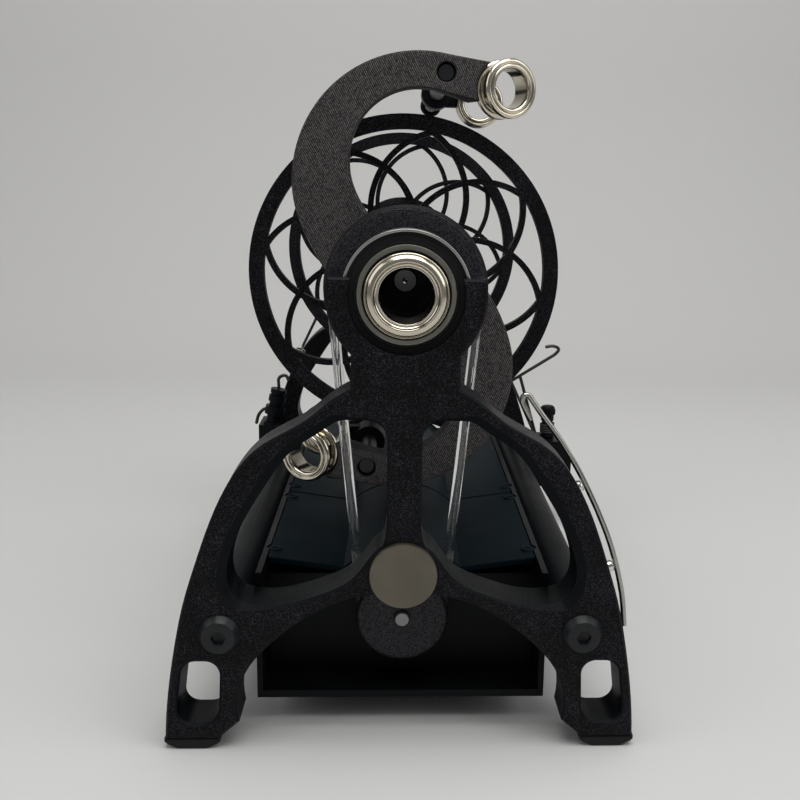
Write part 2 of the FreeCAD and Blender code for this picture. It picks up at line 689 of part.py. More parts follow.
def motor_can():
    """Motor can with its front boss; the shaft's bore runs through."""
    z = -MOTOR_DROP
    can = drum(MOTOR_D / 2, PLATE_BACK, PLATE_BACK + MOTOR_L, 0, z)
    can = can.makeFillet(1.5, [e for e in can.Edges if abs(e.BoundBox.YMin - PLATE_BACK) < 1e-6
                               and e.BoundBox.YLength < 1e-6])
    boss = drum(MOTOR_BOSS_R, COVER_FRONT_Y + 0.5, PLATE_BACK + 1, 0, z)
    bore = drum(MOTOR_SHAFT_D / 2 + RUN_GAP, COVER_FRONT_Y - 1, PLATE_BACK + MOTOR_L - 4, 0, z)
    screw_bores = [drum(MOTOR_SCREW_R + SEAT_GAP, PLATE_BACK - 1, PLATE_BACK + 5, x, z)
                   for x in (-MOTOR_SCREW_PCD / 2, MOTOR_SCREW_PCD / 2)]
    return fuse([can, boss]).cut(group([bore] + screw_bores))


def motor_cap():
    """Plastic end cap with two terminals."""
    z = -MOTOR_DROP
    y0 = PLATE_BACK + MOTOR_L
    cap = drum(MOTOR_D / 2 - 2, y0, y0 + MOTOR_CAP_L, 0, z)
    tabs = [block(x - 1.5, x + 1.5, y0 + MOTOR_CAP_L - 1, y0 + MOTOR_CAP_L + 5, z - 0.4, z + 0.4)
            for x in (-10, 10)]
    return fuse([cap] + tabs)


def motor_screws():
    """Two screws that hold the motor on its plate."""
    screws = []
    for x in (-MOTOR_SCREW_PCD / 2, MOTOR_SCREW_PCD / 2):
        head = drum(MOTOR_SCREW_HEAD_R, COVER_FRONT_Y + 0.1, COVER_FRONT_Y + SINK, x, -MOTOR_DROP)
        shank = drum(MOTOR_SCREW_R, COVER_FRONT_Y + SINK, PLATE_BACK + 4, x, -MOTOR_DROP)
        slot = drum(1.2, COVER_FRONT_Y - 1, COVER_FRONT_Y + SINK / 2, x, -MOTOR_DROP)
        screws.append(fuse([head, shank]).cut(slot))
    return screws


def grooved_pulley(floor_r, width, bore_r, y0):
    """Round-belt pulley: two flanges and a rounded groove."""
    rim = floor_r + FLANGE_H
    solid = drum(rim, y0, y0 + width).cut(drum(bore_r, y0 - 1, y0 + width + 1))
    groove_r = (width - 2 * FLANGE_T) / 2
    middle = y0 + width / 2
    ring = Part.makeTorus(floor_r + groove_r, groove_r, Vector(0, middle, 0), Y_AXIS)
    mouth = pipe(rim + 1, floor_r + groove_r, middle - groove_r, middle + groove_r)
    solid = solid.cut(fuse([ring, mouth]))
    outer = [e for e in solid.Edges if abs(e.BoundBox.XMax - rim) < 1e-6 and e.BoundBox.YLength < 1e-6
             and (abs(e.BoundBox.YMin - y0) < 1e-6 or abs(e.BoundBox.YMin - y0 - width) < 1e-6)]
    return solid.makeChamfer(0.9, outer)


def drive_belt():
    """Round belt over both pulleys: two straight strands and two arcs."""
    big = DRIVE_PITCH_D / 2
    small = MOTOR_PITCH_D / 2
    lean = math.asin((big - small) / MOTOR_DROP)
    edges = []
    spots = []
    for sign in (1, -1):
        outward = at(sign * math.cos(lean), -math.sin(lean), 0)
        top = outward * big + Vector(0, BELT_Y, 0)
        low = outward * small + Vector(0, BELT_Y, -MOTOR_DROP)
        spots.append((top, low))
        edges.append(line(top, low))
    edges.append(Part.Arc(spots[0][0], at(0, big, BELT_Y), spots[1][0]).toShape())
    edges.append(Part.Arc(spots[0][1], at(0, -MOTOR_DROP - small, BELT_Y), spots[1][1]).toShape())
    path = Part.Wire(Part.__sortEdges__(edges))
    start = path.OrderedVertexes[0].Point
    first = path.OrderedEdges[0]
    section = Part.Wire(Part.Circle(start, first.tangentAt(first.FirstParameter),
                                    BELT_D / 2 - RUN_GAP).toShape())
    return path.makePipeShell([section], True, True)


# ---------------------------------------------------------------- controls


def controller_board():
    """Circuit board with a few large components."""
    z = TRAY_FLOOR_Z + TRAY_FLOOR_T + BOARD_LIFT
    board = block(*BOARD_X, *BOARD_Y, z, z + BOARD_T)
    for x, y in board_posts():
        board = board.cut(Part.makeCylinder(BOARD_SCREW_R + 0.2, 4, Vector(x, y, z - 1), Z_AXIS))
    top = z + BOARD_T
    pieces = [board,
              Part.makeCylinder(5, 12, Vector(BOARD_X[1] - 14, BOARD_Y[0] + 12, top), Z_AXIS),
              block(BOARD_X[0] + 12, BOARD_X[0] + 22, BOARD_Y[0] + 14, BOARD_Y[0] + 18, top, top + 14),
              block(-6, 6, BOARD_Y[1] - 24, BOARD_Y[1] - 12, top, top + 2.5)]
    return group(pieces)


def board_screws():
    """Four screws that hold the controller board."""
    z = TRAY_FLOOR_Z + TRAY_FLOOR_T + BOARD_LIFT + BOARD_T
    screws = []
    for x, y in board_posts():
        head = Part.makeCylinder(2.4, 1.2, Vector(x, y, z), Z_AXIS)
        shank = Part.makeCylinder(BOARD_SCREW_R - SEAT_GAP, 5.5, Vector(x, y, z - 5), Z_AXIS)
        screws.append(fuse([head, shank]))
    return screws


def speed_dial():
    """Potentiometer: can behind the rear wall and threaded bush with its nut."""
    can = drum(POT_R, REAR_WALL_Y - POT_L, REAR_WALL_Y, KNOB_X, CONTROL_Z)
    bush = drum(POT_BUSH_R, REAR_WALL_Y - 1, REAR_Y + 3.5, KNOB_X, CONTROL_Z)
    nut = drum(5, REAR_Y, REAR_Y + 1.8, KNOB_X, CONTROL_Z)
    bore = drum(DIAL_SHAFT_R + RUN_GAP, REAR_WALL_Y - POT_L + 2, REAR_Y + 5, KNOB_X, CONTROL_Z)
    return fuse([can, bush, nut]).cut(bore)


def speed_knob():
    """Knob with a skirt, grip flutes and its shaft."""
    y0 = REAR_Y + 4.2
    grip = KNOB_D / 2
    body = drum(grip, y0, y0 + KNOB_L, KNOB_X, CONTROL_Z)
    body = body.makeChamfer(1.0, [e for e in body.Edges if abs(e.BoundBox.YMin - y0 - KNOB_L) < 1e-6])
    flutes = []
    for k in range(18):
        a = 2 * math.pi * k / 18
        flutes.append(drum(0.8, y0 + 2.5, y0 + KNOB_L + 1, KNOB_X + (grip + 0.2) * math.cos(a),
                           CONTROL_Z + (grip + 0.2) * math.sin(a)))
    mark = block(KNOB_X - 0.6, KNOB_X + 0.6, y0 + KNOB_L - 0.5, y0 + KNOB_L + 1,
                 CONTROL_Z + 1.5, CONTROL_Z + grip - 1.2)
    shaft = drum(DIAL_SHAFT_R, REAR_WALL_Y - POT_L + 2.3, y0 + 1, KNOB_X, CONTROL_Z)
    knob = fuse([body.cut(group(flutes + [mark])), shaft])
    knob.rotate(Vector(KNOB_X, y0, CONTROL_Z), Y_AXIS, KNOB_SWEEP / 2)
    return knob


def switch_body(x):
    """Rocker switch housing with a frame on the rear wall."""
    hw = SWITCH_W / 2
    hh = SWITCH_H / 2
    frame = block(x - hw, x + hw, REAR_Y, REAR_Y + 2, CONTROL_Z - hh, CONTROL_Z + hh)
    body = block(x - hw + 1 + SEAT_GAP, x + hw - 1 - SEAT_GAP, REAR_WALL_Y - 13, REAR_Y + 1,
                 CONTROL_Z - hh + 1 + SEAT_GAP, CONTROL_Z + hh - 1 - SEAT_GAP)
    well = block(x - hw + 2, x + hw - 2, REAR_Y - 4, REAR_Y + 3, CONTROL_Z - hh + 2, CONTROL_Z + hh - 2)
    sockets = rocker_pin(x, hw - 2 - SIDE_GAP + SEAT_GAP, PIVOT_R + RUN_GAP)
    return fuse([frame, body]).cut(group([well, sockets]))


def rocker(x):
    """Rocker: a shallow V that lies tilted, its top pressed in."""
    hw = SWITCH_W / 2 - 2 - SIDE_GAP
    reach = SWITCH_H / 2 - 2 - ROCKER_END_GAP
    pivot_y = REAR_Y + 0.2
    corners = [Vector(x - hw, pivot_y - 1.6, CONTROL_Z - reach), Vector(x - hw, pivot_y + 2.6, CONTROL_Z - reach),
               Vector(x - hw, pivot_y + 1.6, CONTROL_Z), Vector(x - hw, pivot_y + 2.6, CONTROL_Z + reach),
               Vector(x - hw, pivot_y - 1.6, CONTROL_Z + reach)]
    solid = Part.Face(Part.makePolygon(corners + [corners[0]])).extrude(Vector(2 * hw, 0, 0))
    solid.rotate(Vector(x, pivot_y, CONTROL_Z), X_AXIS, ROCKER_TILT)
    return fuse([solid, rocker_pin(x, hw, PIVOT_R)])


def rocker_pin(x, half_width, radius):
    """Pin along X that a rocker tilts on."""
    reach = half_width + PIVOT_L
    return Part.makeCylinder(radius, 2 * reach, Vector(x - reach, REAR_Y + 0.2, CONTROL_Z), X_AXIS)


def power_inlet():
    """Round barrel inlet with its nut and centre pin."""
    r = INLET_D / 2
    body = pipe(r + 1, r - 1, REAR_WALL_Y - 9, REAR_Y + 1, INLET_X, CONTROL_Z)
    back = drum(r + 1, REAR_WALL_Y - 11, REAR_WALL_Y - 9, INLET_X, CONTROL_Z)
    nut = pipe(r + 2.2, r - 1, REAR_Y, REAR_Y + 2, INLET_X, CONTROL_Z)
    pin = drum(1.0, REAR_WALL_Y - 10, REAR_Y - 1, INLET_X, CONTROL_Z)
    return fuse([body, back, nut, pin])


# ---------------------------------------------------------------- flyer


def orifice_insert():
    """Polished lip and sleeve of the orifice."""
    inner = ORIFICE_D / 2
    outer = inner + ORIFICE_WALL
    lip_at = inner + 0.3 + LIP_R
    lip = Part.makeTorus(lip_at, LIP_R, Vector(0, HUB_FRONT, 0), Y_AXIS)
    lip = lip.cut(drum(lip_at + 2 * LIP_R, HUB_FRONT, HUB_FRONT + 2 * LIP_R))
    sleeve = pipe(outer, inner, 0, HUB_FRONT + INSERT_L)
    solid = fuse([lip, sleeve])
    return solid.cut(drum(inner, HUB_FRONT - 5, HUB_FRONT + 2 * INSERT_L))


def flyer_hub():
    """Front tube of the hub: it carries the bearing, the pulley and the orifice's sleeve."""
    nose = BEARING_ID / 2 - SEAT_GAP
    bore = ORIFICE_D / 2 + ORIFICE_WALL + SEAT_GAP
    return lathe([(bore, HUB_FRONT), (nose, HUB_FRONT), (nose, BEARING_DEPTH + BEARING_W),
                  (HUB_R - 0.2, BEARING_DEPTH + BEARING_W), (HUB_R - 0.2, YOKE_Y), (bore, YOKE_Y)])


def hub_yoke():
    """Rear of the hub: two bridges with a yarn exit on either side, and the spindle's socket."""
    bore = ORIFICE_D / 2 + ORIFICE_WALL + SEAT_GAP
    socket_y = PLATE_Y - HUB_SOLID
    ring = pipe(HUB_R, bore, YOKE_Y, socket_y)
    toward = at(RING_AT[0], RING_AT[1])
    toward.normalize()
    side = toward.cross(Y_AXIS)
    reach = 2 * HUB_R
    corner = side * (-EXIT_W / 2) - toward * reach + Vector(0, YOKE_Y - 1, 0)
    wire = Part.makePolygon([corner, corner + side * EXIT_W, corner + side * EXIT_W + toward * 2 * reach,
                             corner + toward * 2 * reach, corner])
    exits = Part.Face(wire).extrude(Vector(0, socket_y - YOKE_Y + 1, 0))
    socket = pipe(HUB_R, SPINDLE_R + SEAT_GAP, socket_y, PLATE_Y)
    return fuse([ring.cut(exits), socket])


def arm_edges():
    """Edges of the S plate's upper arm, from its tip to the hub."""
    def around(centre, radius, degrees):
        a = math.radians(degrees)
        return at(centre[0] + radius * math.cos(a), centre[1] + radius * math.sin(a))

    def outer(degrees):
        return around(ARM_CENTRE, ARM_RADIUS, degrees)

    def inner(degrees):
        return around(ARM_INNER_CENTRE, ARM_INNER_RADIUS, degrees)

    def ahead(point, degrees, x):
        """Point at x on the tangent that leaves an arc clockwise."""
        a = math.radians(degrees)
        return at(x, point.z - (x - point.x) / math.tan(a))

    tip_out = ahead(outer(ARM_OUTER_END), ARM_OUTER_END, ARM_TIP_X)
    tip_in = ahead(inner(ARM_INNER_END), ARM_INNER_END, ARM_TIP_X - 2.5)
    root_out = at(-21.0, -4.0)
    root_in = at(0, 10.0)
    outside = spline([outer(180), at(-35.4, 20.0), at(-29.8, 7.4), root_out],
                     at(0, -1), at(0.7, -0.72))
    inside = spline([root_in, at(-12.2, 20.4), at(-17.0, 29.0), inner(180)],
                    at(-0.85, 0.5), at(0, 1))
    return [Part.Arc(outer(ARM_OUTER_END), outer(130), outer(180)).toShape(),
            outside,
            line(root_out, at(0, -6)),
            line(at(0, -6), root_in),
            inside,
            Part.Arc(inner(180), inner(130), inner(ARM_INNER_END)).toShape(),
            line(inner(ARM_INNER_END), tip_in),
            line(tip_in, tip_out),
            line(tip_out, outer(ARM_OUTER_END))]


def ring_axis(turn):
    """Axis of a guide ring turned about the vertical."""
    a = math.radians(turn)
    return Vector(math.sin(a), -math.cos(a), 0)


def guide_ring(x, z, y, turn):
    """Spool-shaped guide ring with rounded lips."""
    axis = ring_axis(turn)
    half = RING_L / 2
    bore = RING_BORE / 2
    waist = RING_R - RING_WAIST
    lip = (RING_R - bore) / 2
    mid = (RING_R + bore) / 2
    centre = Vector(x, y, z)
    sleeve = Part.makeCylinder(waist, RING_L - 2 * lip, centre - axis * (half - lip), axis)
    lips = [Part.makeTorus(mid, lip, centre + axis * (s * (half - lip)), axis) for s in (-1, 1)]
    hole = Part.makeCylinder(bore + 0.05, 3 * RING_L, centre - axis * (1.5 * RING_L), axis)
    solid = fuse([sleeve.cut(hole)] + lips)
    return solid


def ring_seat(x, z, y, turn):
    """Cutter for the hollow that a guide ring's waist nests in."""
    axis = ring_axis(turn)
    centre = Vector(x, y, z)
    waist = RING_R - RING_WAIST + SEAT_GAP
    lip = RING_R + SIDE_GAP
    reach = RING_L / 2 - (RING_R - RING_BORE / 2)
    cutter = [Part.makeCylinder(waist, 4 * RING_L, centre - axis * (2 * RING_L), axis)]
    for s in (-1, 1):
        cutter.append(Part.makeCylinder(lip, 2 * RING_L, centre + axis * (s * reach), axis * s))
    return fuse(cutter)


def flyer_plate():
    """S-shaped plate with a boss for each rod and a seat for each fixed ring."""
    arm = plate(arm_edges(), PLATE_Y, PLATE_T)
    disc = drum(HUB_R + 4, PLATE_Y, PLATE_Y + PLATE_T)
    solid = fuse([arm, half_turn(arm), disc])
    solid = edge_break(solid, PLATE_Y, EDGE_BREAK)
    bore = drum(SPINDLE_R + SEAT_GAP, PLATE_Y - 1, PLATE_Y + PLATE_T + 1)
    rod_hole = drum(ROD_R + SEAT_GAP, PLATE_Y - 1, PLATE_Y + PLATE_T + 1, *ROD_AT)
    seat = ring_seat(*RING_AT, RING_Y, RING_TURN)
    return solid.cut(group([bore, rod_hole, half_turn(rod_hole)])).cut(seat).cut(half_turn(seat))


def flyer_rod():
    """Guide rod from the plate to just before the bobbin's rear face."""
    return drum(ROD_R, PLATE_Y + 2.5, BOBBIN_END - ROD_END_GAP - CAP_T / 2, *ROD_AT)


def rod_cap():
    """Stop cap on the end of a rod."""
    end = BOBBIN_END - ROD_END_GAP
    cap = drum(ROD_R + CAP_WALL, end - CAP_T, end, *ROD_AT)
    cap = cap.makeFillet(1.2, [e for e in cap.Edges if abs(e.BoundBox.YMin - end) < 1e-6])
    return cap.cut(drum(ROD_R + SEAT_GAP, end - CAP_T - 1, end - CAP_T / 2, *ROD_AT))


def slider(y):
    """Sliding carrier at y: a sleeve on the rod and an arm to its ring."""
    y0 = y - SLIDER_L / 2
    y1 = y + SLIDER_L / 2
    sleeve = drum(ROD_R + SLEEVE_WALL, y0, y1, *ROD_AT)
    reach = SLIDER_RING_AT[0] - RING_R + RING_WAIST
    web = block(ROD_AT[0], reach + WEB_GRIP, y - WEB_W / 2, y + WEB_W / 2,
                ROD_AT[1] - WEB_H, ROD_AT[1] + WEB_H / 4)
    solid = fuse([sleeve, web])
    solid = solid.cut(ring_seat(*SLIDER_RING_AT, y, 0))
    return solid.cut(drum(ROD_R + RUN_GAP, y0 - 1, y1 + 1, *ROD_AT))


def spindle():
    """Steel spindle from the hub to the rear bearing."""
    return drum(SPINDLE_R, PLATE_Y - HUB_SOLID + 0.5, REAR_Y + REAR_POCKET + REAR_BEARING_W + 2)


def thrust_collar():
    """Spacer between the S plate and the bobbin."""
    return pipe(SPINDLE_R + 3, SPINDLE_R + SEAT_GAP, PLATE_Y + PLATE_T, BOBBIN_Y - SIDE_GAP)


def rear_collar():
    """Collar that keeps the bobbin on the spindle, and its set screw."""
    y0 = WHORL_END + SIDE_GAP
    y1 = REAR_Y + REAR_POCKET
    step = REAR_Y - 1.0
    collar = lathe([(0, y0), (SPINDLE_R + 3.5, y0), (SPINDLE_R + 3.5, step), (SPINDLE_R + 1.6, step),
                    (SPINDLE_R + 1.6, y1), (0, y1)])
    return collar.cut(drum(SPINDLE_R + SEAT_GAP, y0 - 1, y1 + 1))


# ---------------------------------------------------------------- bobbin


def petals(y0):
    """Rosette of overlapping circles between the rim and the hub."""
    inner = RIM_R - RIM_W
    radius = inner / (2 * math.cos(math.pi / PETALS))
    rings = []
    for k in range(PETALS):
        a = math.radians(PETAL_TURN) + 2 * math.pi * k / PETALS
        rings.append(pipe(radius + STROKE_W / 2, radius - STROKE_W / 2, y0, y0 + STROKE_T,
                          radius * math.cos(a), radius * math.sin(a)))
    solid = rings[0].multiFuse(rings[1:])
    return solid.common(pipe(inner + 1, HUB_RING_R - 1, y0 - 1, y0 + DISC_T + 1))


def bobbin_disc(y0, stroke_y):
    """Openwork disc: rim, rosette and hub."""
    rim = pipe(RIM_R, RIM_R - RIM_W, y0, y0 + DISC_T)
    hub = drum(HUB_RING_R, y0, y0 + DISC_T)
    disc = fuse([rim, hub, petals(stroke_y)])
    return disc.cut(drum(BUSH_D / 2 + SEAT_GAP, y0 - 1, y0 + DISC_T + 1))


def brake_whorl():
    """Grooved wheel behind the rear disc."""
    top = WHORL_D / 2
    floor = top - WHORL_GROOVE
    lip = 1.2
    return lathe([(BUSH_D / 2 + SEAT_GAP, BOBBIN_END), (top, BOBBIN_END), (top, BOBBIN_END + lip),
                  (floor, CORD_Y - CORD_D / 2), (floor, CORD_Y + CORD_D / 2),
                  (top, WHORL_END - lip), (top, WHORL_END), (BUSH_D / 2 + SEAT_GAP, WHORL_END)])


def bobbin_core():
    """Tube between the discs with a web at each end that holds a bush."""
    y0 = BOBBIN_Y + DISC_T
    y1 = BOBBIN_END - DISC_T
    tube = pipe(CORE_D / 2, CORE_D / 2 - CORE_WALL, y0, y1)
    webs = [pipe(CORE_D / 2, BUSH_D / 2 + SEAT_GAP, a, a + 4.0) for a in (y0, y1 - 4.0)]
    return fuse([tube] + webs)


def bobbin_bushes():
    """Two plain bushes that run on the spindle."""
    return group([pipe(BUSH_D / 2, SPINDLE_R + RUN_GAP, BOBBIN_Y, BOBBIN_Y + BUSH_L),
                  pipe(BUSH_D / 2, SPINDLE_R + RUN_GAP, WHORL_END - WHORL_L - BUSH_L, WHORL_END)])


# ---------------------------------------------------------------- brake, magnets and hook


def tangent_spot(point, sign, radius):
    """Where a line from a point touches the circle about the spindle, on the given side."""
    distance = math.hypot(point.x, point.z)
    base = math.atan2(point.z, point.x)
    swing = math.acos(radius / distance)
    angle = base + sign * swing
    return at(radius * math.cos(angle), radius * math.sin(angle), point.y)


def brake_cord_path():
    """Corners of the cord: spring end, start, top and end of its wrap, and its end in the block."""
    radius = WHORL_D / 2 - WHORL_GROOVE + CORD_D / 2 + RUN_GAP
    hooked = left_spot(CORD_HOOK, CORD_Y)
    entry = at(TENSION_POST_X - CORD_ASIDE, -TENSION_TOP, CORD_Y)
    left = tangent_spot(hooked, -1, radius)
    right = tangent_spot(entry, 1, radius)
    along = left - hooked
    along.normalize()
    onward = entry - right
    onward.normalize()
    return hooked + along * SPRING_L, left, at(0, radius, CORD_Y), right, entry + onward * CORD_TAIL


def brake_cord():
    """Brake cord as a round tube."""
    start, left, top, right, end = brake_cord_path()
    edges = [line(start, left), Part.Arc(left, top, right).toShape(), line(right, end)]
    path = Part.Wire(edges)
    section = Part.Wire(Part.Circle(start, left - start, CORD_D / 2).toShape())
    return path.makePipeShell([section], True, True)


def brake_spring():
    """Outer shape of the tension spring on the cord's left end."""
    start, left, _, _, _ = brake_cord_path()
    along = left - start
    along.normalize()
    base = start - along * SPRING_L
    end_t = 1.2
    outer = Part.makeCylinder(SPRING_D / 2, SPRING_L, base, along)
    return outer.cut(Part.makeCylinder(SPRING_D / 2 - 0.8, SPRING_L - 2 * end_t, base + along * end_t, along))


def anchor_post(maiden_solid):
    """Left post on the rear maiden's edge that carries the cup hooks."""
    foot = left_spot(ANCHOR_FOOT, CORD_Y)
    head = left_spot(ANCHOR_HEAD, CORD_Y)
    along = head - foot
    length = along.Length
    along.normalize()
    post = Part.makeCylinder(ANCHOR_R, length, foot, along)
    collars = [Part.makeCylinder(r, h, foot + along * (share * length), along)
               for r, h, share in ANCHOR_COLLARS]
    low, high = (left_spot(corner, 0) for corner in ANCHOR_BRACKET)
    bracket = block(low.x, high.x, CORD_Y - 4.5, REAR_Y + 6.0, low.z, high.z)
    rail_room = drum(RAIL_R + SIDE_GAP, MAIDEN_T, REAR_Y + RAIL_SEAT, -RAIL_X, -RAIL_DROP)
    return fuse([bracket, post] + collars).cut(group([maiden_solid, cup_hooks(), rail_room]))


def cup_hooks():
    """Open hooks of bent wire: one over the post, one at its outer side."""
    r = BRAKE_WIRE_D / 2
    upper, _ = wire_rod([left_spot(corner, CORD_Y) for corner in UPPER_HOOK], r)
    lower, _ = wire_rod([left_spot(corner, CORD_Y) for corner in LOWER_HOOK], r)
    return group([upper, lower])


def tension_block(maiden_solid):
    """Right block on the rear maiden's edge with the post of the tension knob."""
    x0 = TENSION_POST_X - BLOCK_W / 2
    y0 = CORD_Y - BLOCK_L / 2
    top = -TENSION_TOP
    body = rounded([(x0, top), (x0 + BLOCK_W, top), (x0 + BLOCK_W, top - BLOCK_H), (x0, top - BLOCK_H)],
                   1.5, y0, BLOCK_L)
    lug = rounded([(x0 + BLOCK_W - 2, top - 6), (x0 + BLOCK_W + 3.5, top - 6), (x0 + BLOCK_W + 3.5, top - 18),
                   (x0 + BLOCK_W - 2, top - 18)], 1.2, y0 + 4, BLOCK_L - 8)
    solid = fuse([body, lug]).cut(maiden_solid)
    bore = Part.makeCylinder(KNOB_STEM_R + RUN_GAP, BLOCK_H, Vector(TENSION_POST_X, CORD_Y, top - 14), Z_AXIS)
    foot, head = strut_line()
    drilled = Part.makeCylinder(BRAKE_WIRE_D / 2 + SEAT_GAP, (head - foot).Length, foot, head - foot)
    _, _, _, right, end = brake_cord_path()
    cord_hole = Part.makeCylinder(CORD_D / 2 + SEAT_GAP, (end - right).Length, end, right - end)
    return solid.cut(group([bore, drilled, cord_hole]))


def tension_knob():
    """Mushroom knob on the stem that winds the cord."""
    top = -TENSION_TOP
    x = TENSION_POST_X
    stem = Part.makeCylinder(KNOB_STEM_R, 14 + 10.5, Vector(x, CORD_Y, top - 13.7), Z_AXIS)
    waist = Part.makeCylinder(3.2, 3.0, Vector(x, CORD_Y, top + 8.5), Z_AXIS)
    head = Part.makeCylinder(TENSION_KNOB_D / 2, 5.0, Vector(x, CORD_Y, top + 11.5), Z_AXIS)
    head = head.makeFillet(1.8, [e for e in head.Edges if abs(e.BoundBox.ZMin - top - 16.5) < 1e-6])
    flange = Part.makeCylinder(3.6, 1.4, Vector(x, CORD_Y, top + 0.3), Z_AXIS)
    return fuse([stem, waist, head, flange])


def strut_line():
    """Foot and head of the strut under the wire arm."""
    y = REAR_Y - BRAKE_WIRE_D / 2 - RUN_GAP
    return at(STRUT_FOOT_X, -TENSION_TOP - STRUT_DEPTH, y), spot(*STRUT_HEAD) + Vector(0, y, 0)


def guide_wires():
    """Wire arm with a hooked end on the maiden's shoulder, and the strut from the block."""
    r = BRAKE_WIRE_D / 2
    foot, head = strut_line()
    y = foot.y
    arm, _ = wire_rod([spot(*corner) + Vector(0, y, 0) for corner in WIRE_ARM], r)
    strut = Part.makeCylinder(r, (head - foot).Length, foot, head - foot)
    return fuse([arm, strut])


def parking_magnet():
    """Round magnet in the front maiden's stem."""
    return drum(MAGNET_D / 2, -MAGNET_PROUD, MAGNET_T - MAGNET_PROUD, 0, -MAGNET_DROP)


def hook_route():
    """Corners of the threading hook's wire."""
    return [spot(*share) + Vector(0, HOOK_Y, 0) for share in HOOK_ROUTE]


def hook_pin(place, gap=0.0):
    """Small magnet pin from inside the front maiden's right edge out to the hook's wire."""
    run, share = place
    route = hook_route()
    along = route[run + 1] - route[run]
    touch = route[run] + along * share
    inward = Vector(along.z, 0, -along.x)
    inward.normalize()
    tip = touch + inward * (WIRE_D / 2 + PIN_GAP)
    return Part.makeCylinder(PIN_D / 2 + gap, PIN_L, tip, inward)


def threading_hook():
    """Spring-steel hook with a hairpin top, held beside the right leg."""
    solid, radii = wire_rod(hook_route(), WIRE_D / 2)
    print("threading hook radii", [round(r, 1) for r in radii])
    return solid


# ---------------------------------------------------------------- build


def build():
    """All nodes by name."""
    front = front_maiden()
    rear = rear_maiden()
    f_outer, f_inner, f_seals, f_balls = bearing(BEARING_R, BEARING_ID / 2, BEARING_W, RACE_T, BEARING_DEPTH)
    r_outer, r_inner, r_seals, r_balls = bearing(REAR_BEARING_R, SPINDLE_R + SEAT_GAP, REAR_BEARING_W,
                                                 REAR_RACE_T, REAR_Y + REAR_POCKET)
    holes = screw_holes(SEAT_GAP)
    walls = tray_wall().cut(holes)
    ring = guide_ring(*RING_AT, RING_Y, RING_TURN)
    rod = flyer_rod()
    cap = rod_cap()
    motor_pulley = grooved_pulley(MOTOR_FLOOR_R, PULLEY_W - 1, MOTOR_SHAFT_D / 2 + SEAT_GAP, PULLEY_Y + 0.5)
    motor_pulley.translate(Vector(0, 0, -MOTOR_DROP))
    return {
        "front_maiden": front,
        "rear_maiden": rear,
        "rail_left": rail(-1),
        "rail_right": rail(1),
        "rail_screws": group(rail_screw(s, front) for s in (-1, 1) for front in (True, False)),
        "foot_pads": group(foot_pad(s, y) for s in (-1, 1) for y in (0, REAR_Y)),
        "front_bearing_outer": f_outer,
        "front_bearing_inner": f_inner,
        "rear_bearing_outer": r_outer,
        "rear_bearing_inner": r_inner,
        "bearing_seals": group(f_seals + r_seals),
        "bearing_balls": group(f_balls + r_balls),
        "base_tray": base_tray(),
        "tray_walls": group([walls, mirror_x(walls)]),
        "front_cover": cover(COVER_FRONT_Y, COVER_JOINT_Y).cut(holes),
        "rear_cover": cover(COVER_JOINT_Y + JOINT_GAP, REAR_WALL_Y - SIDE_GAP).cut(holes),
        "base_screws": group(cover_screws() + motor_screws() + board_screws()),
        "motor_plate": motor_plate(),
        "motor_can": motor_can(),
        "motor_cap": motor_cap(),
        "motor_shaft": drum(MOTOR_SHAFT_D / 2, PULLEY_Y - 1, PLATE_BACK + MOTOR_L - 4.5, 0, -MOTOR_DROP),
        "motor_pulley": motor_pulley,
        "drive_belt": drive_belt(),
        "controller_board": controller_board(),
        "speed_dial": speed_dial(),
        "speed_knob": speed_knob(),
        "power_switch": switch_body(POWER_X),
        "power_rocker": rocker(POWER_X),
        "direction_switch": switch_body(DIRECTION_X),
        "direction_rocker": rocker(DIRECTION_X),
        "power_inlet": power_inlet(),
        "orifice_insert": orifice_insert(),
        "flyer_hub": flyer_hub(),
        "hub_yoke": hub_yoke(),
        "flyer_pulley": grooved_pulley(PULLEY_FLOOR_R, PULLEY_W, HUB_R - 0.2 + SEAT_GAP, PULLEY_Y),
        "flyer_plate": flyer_plate(),
        "fixed_rings": group([ring, half_turn(ring)]),
        "flyer_rods": group([rod, half_turn(rod)]),
        "rod_caps": group([cap, half_turn(cap)]),
        "spindle": spindle(),
        "thrust_collar": thrust_collar(),
        "rear_collar": rear_collar(),
        "slider_upper": slider(SLIDER_Y),
        "slider_upper_ring": guide_ring(*SLIDER_RING_AT, SLIDER_Y, 0),
        "slider_lower": half_turn(slider(LOWER_SLIDER_Y)),
        "slider_lower_ring": half_turn(guide_ring(*SLIDER_RING_AT, LOWER_SLIDER_Y, 0)),
        "bobbin_front_disc": bobbin_disc(BOBBIN_Y, BOBBIN_Y),
        "bobbin_core": bobbin_core(),
        "bobbin_rear_disc": bobbin_disc(BOBBIN_END - DISC_T, BOBBIN_END - STROKE_T),
        "brake_whorl": brake_whorl(),
        "bobbin_bushes": bobbin_bushes(),
        "brake_cord": brake_cord(),
        "brake_spring": brake_spring(),
        "anchor_post": anchor_post(rear),
        "cup_hooks": cup_hooks(),
        "tension_block": tension_block(rear),
        "tension_knob": tension_knob(),
        "guide_wires": guide_wires(),
        "magnets": group([parking_magnet()] + [hook_pin(p) for p in HOOK_PINS]),
        "threading_hook": threading_hook(),
    }


def main():
    """Write one STEP file for each node."""
    os.makedirs("parts", exist_ok=True)
    for name, shape in build().items():
        if not shape.isValid():
            print("not valid:", name)
        print(f"{name:24s} solids {len(shape.Solids):3d} volume {shape.Volume:12.1f}")
        shape.exportStep(f"parts/{name}.step")


main()
